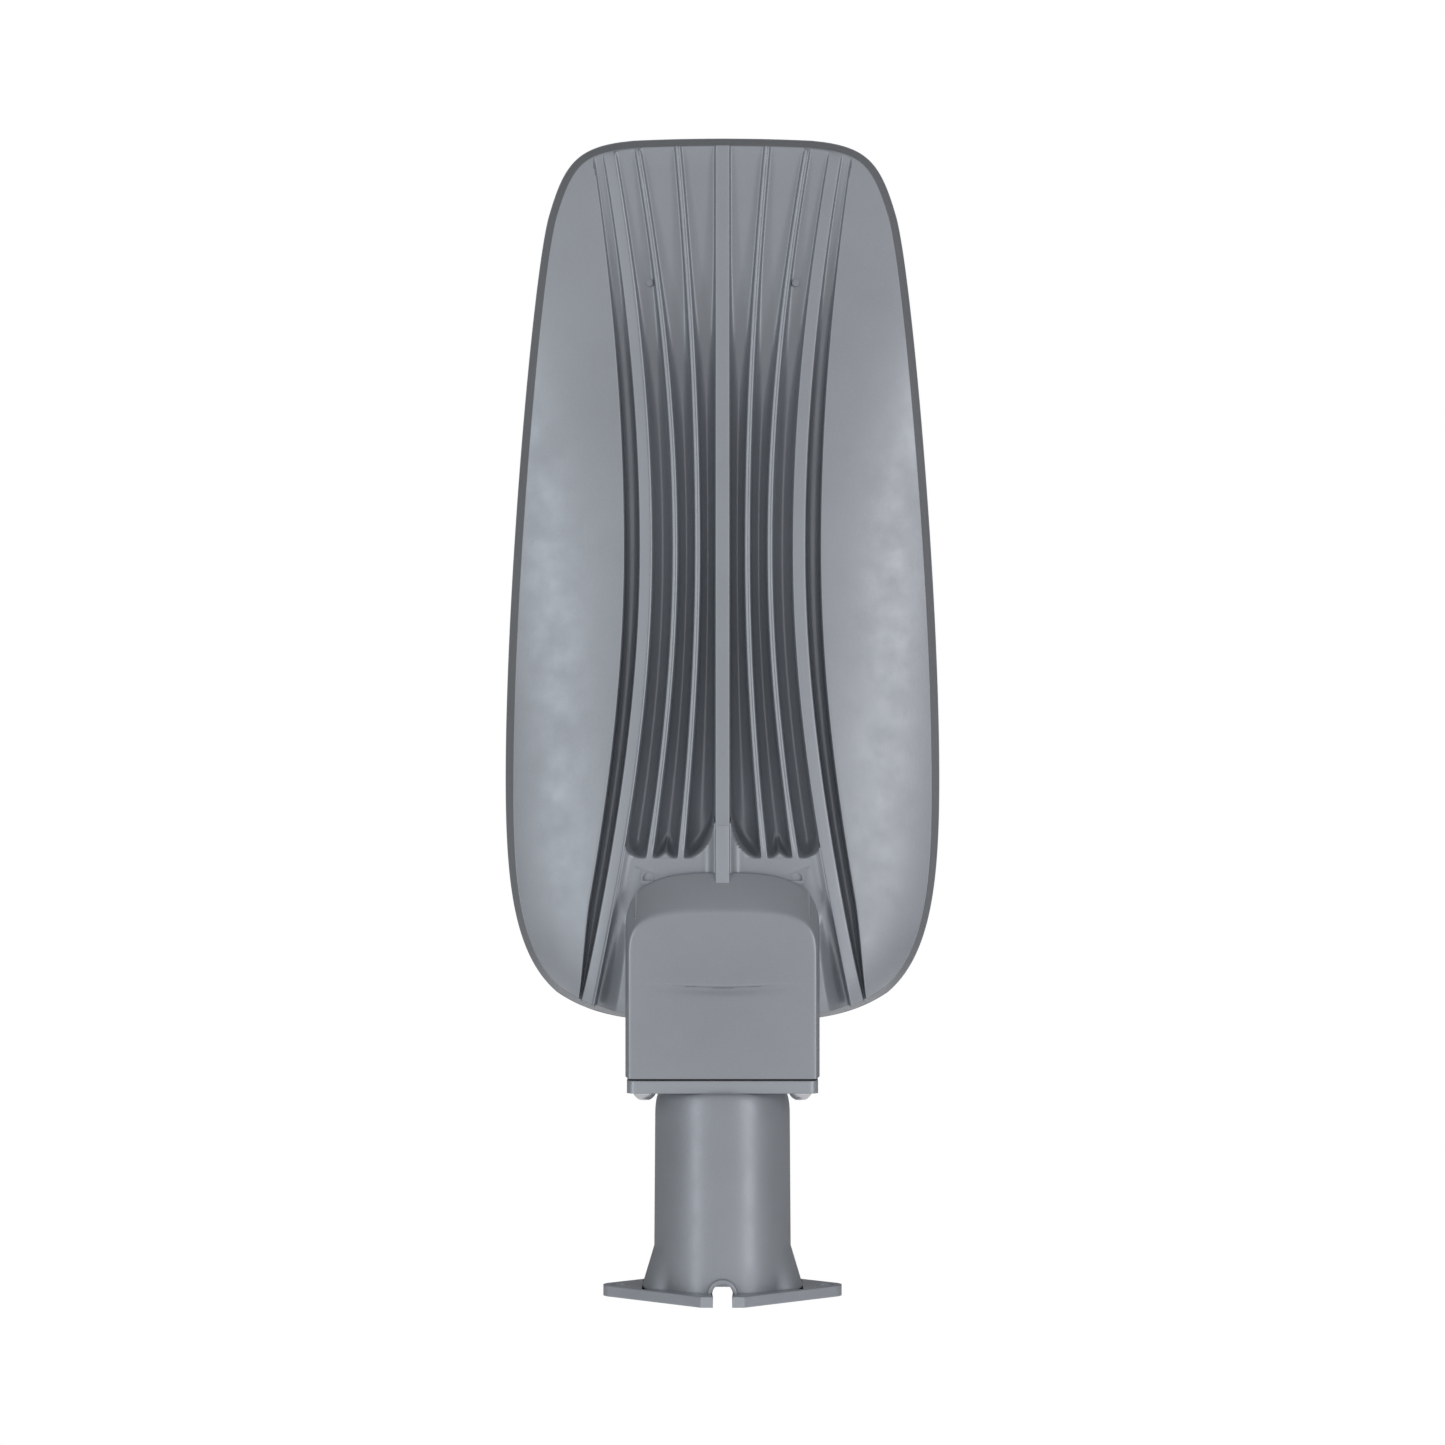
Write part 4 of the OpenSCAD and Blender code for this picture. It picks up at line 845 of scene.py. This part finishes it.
def make_finishes():
    """One material for each slot of the record, and the casting's variants."""
    return {
        "casting": painted("cast_powder_coat", CAST_COLOUR, soften=0),
        "casting_cad": painted("cast_powder_coat_soft", CAST_COLOUR, soften=0.0009),
        # The casting's coat made darker for the rim's slope: painted shade where the slope turns away from
        # the light.
        "casting_rim_painted_shade": painted("rim_powder_coat_painted_shade", (0.235, 0.25, 0.275), soften=0, edge_highlight_share=0.1),
        "frame": painted("frame_powder_coat", (0.25, 0.27, 0.30)),
        "fastener_steel": metal_finish("zinc_steel", (0.56, 0.57, 0.59), 0.32),
        "gasket_rubber": moulded("gasket_rubber", (0.022, 0.022, 0.024), 0.75, 700, 0.2),
        "clear_glass": clear("clear_glass", (0.55, 0.62, 0.61), 0.03, 0.16),
        "lens_plastic": clear("lens_plastic", (0.88, 0.90, 0.91), 0.06, 0.42, 0.03),
        "white_board": circuit_board("white_board", (0.74, 0.74, 0.72)),
        "green_board": circuit_board("green_board", (0.02, 0.15, 0.06)),
        "led_phosphor": moulded("led_phosphor", (0.80, 0.62, 0.10), 0.3),
        "thermal_pad": moulded("thermal_pad", (0.42, 0.46, 0.52), 0.8, 500, 0.2),
        "black_plastic": moulded("black_plastic", (0.028, 0.028, 0.03), 0.42),
        "cell_sleeve": moulded("cell_sleeve", (0.03, 0.11, 0.36), 0.28, 200, 0.05),
        "capacitor": moulded("capacitor_sleeve", (0.03, 0.03, 0.05), 0.25),
        "inductor": metal_finish("enamelled_copper", (0.55, 0.25, 0.10), 0.3, (1, 30, 1)),
        "terminal_green": moulded("terminal_green", (0.04, 0.26, 0.09), 0.38),
        "dome_white": moulded("frosted_dome", (0.80, 0.80, 0.77), 0.5),
        "button_red": moulded("button_red", (0.50, 0.035, 0.025), 0.33),
        "pipe_clear": clear("light_pipe", (0.62, 0.86, 0.70), 0.10, 0.75),
        "brass": metal_finish("brass", (0.72, 0.53, 0.22), 0.28),
        "lead_red": moulded("lead_red", (0.42, 0.02, 0.02), 0.5, 400, 0.1),
        "lead_black": moulded("lead_black", (0.02, 0.02, 0.02), 0.5, 400, 0.1),
    }


def finish_cad_nodes(finishes):
    """Materials for the nodes that come from the CAD."""
    slots = {part["node"]: part["material_slot"] for part in frame["record"]["subparts"]}
    for name, piece in cad_nodes.items():
        slot = slots[name]
        if slot == "casting":
            slot = "casting_cad"
        piece.data.materials.clear()
        piece.data.materials.append(finishes[slot])


# ---------------------------------------------------------------- studio

def add_light(name, place, target, size, power, colour):
    """Rectangular soft box turned towards target."""
    data = bpy.data.lights.new(name, "AREA")
    data.shape = "RECTANGLE"
    data.size, data.size_y = size
    data.energy = power
    data.color = colour
    light = bpy.data.objects.new(name, data)
    bpy.context.scene.collection.objects.link(light)
    light.location = place
    light.rotation_euler = (Vector(target) - Vector(place)).to_track_quat("-Z", "Y").to_euler()
    return light


def make_floor():
    """Plain pale disc below the lamp."""
    bm = bmesh.new()
    bmesh.ops.create_circle(bm, cap_ends=True, segments=96, radius=FLOOR_R)
    mesh = bpy.data.meshes.new("floor")
    bm.to_mesh(mesh)
    bm.free()
    floor = bpy.data.objects.new("floor", mesh)
    bpy.context.scene.collection.objects.link(floor)
    s = Shader("pale_floor")
    mottled = s.blend(s.span(s.noise(3, 3), 0, 1), (0.80, 0.80, 0.80), (0.86, 0.86, 0.86))
    s.join(mottled, s.surface.inputs["Base Color"])
    s.surface.inputs["Roughness"].default_value = 0.9
    s.surface.inputs["Emission Color"].default_value = (1, 1, 1, 1)
    s.surface.inputs["Emission Strength"].default_value = 0.42
    mesh.materials.append(s.material)
    floor.location = (0, 0, FLOOR_Z)


def make_studio():
    """White background, soft fill that is strongest from the front, and three soft boxes."""
    scene = bpy.context.scene
    scene.view_settings.view_transform = "Standard"
    world = bpy.data.worlds.new("studio")
    world.use_nodes = True
    scene.world = world
    tree = world.node_tree
    back = tree.nodes["Background"]
    back.inputs["Color"].default_value = (1, 1, 1, 1)
    axes = tree.nodes.new("ShaderNodeSeparateXYZ")
    tree.links.new(tree.nodes.new("ShaderNodeTexCoord").outputs["Generated"], axes.inputs["Vector"])
    front = tree.nodes.new("ShaderNodeMapRange")
    front.interpolation_type = "SMOOTHSTEP"
    levels = {"From Min": 0.0, "From Max": -1.0, "To Min": FILL_SIDE, "To Max": FILL_FRONT}
    for socket, value in levels.items():
        front.inputs[socket].default_value = value
    tree.links.new(axes.outputs["Y"], front.inputs["Value"])
    seen = tree.nodes.new("ShaderNodeLightPath").outputs["Is Camera Ray"]
    level = tree.nodes.new("ShaderNodeMix")
    tree.links.new(seen, level.inputs["Factor"])
    tree.links.new(front.outputs["Result"], level.inputs["A"])
    level.inputs["B"].default_value = 1.0
    tree.links.new(level.outputs["Result"], back.inputs["Strength"])
    middle = (0, 0, 0.35)
    add_light("right_box", (1.5, -1.5, 0.5), middle, (0.45, 1.6), 9.5, (1.0, 0.965, 0.975))
    add_light("left_box", (-1.5, -1.5, 0.5), middle, (0.35, 1.6), 7.5, (0.93, 0.98, 1.0))
    behind = add_light("lamp_side_box", (0.7, 2.2, 1.1), middle, (1.6, 1.6), 16, (1, 1, 1))
    behind.visible_glossy = False


finishes = make_finishes()
make_housing(finishes["casting"], finishes["casting_rim_painted_shade"])
make_adaptor(finishes["casting"], finishes["casting_cad"])
finish_cad_nodes(finishes)
make_studio()
make_floor()
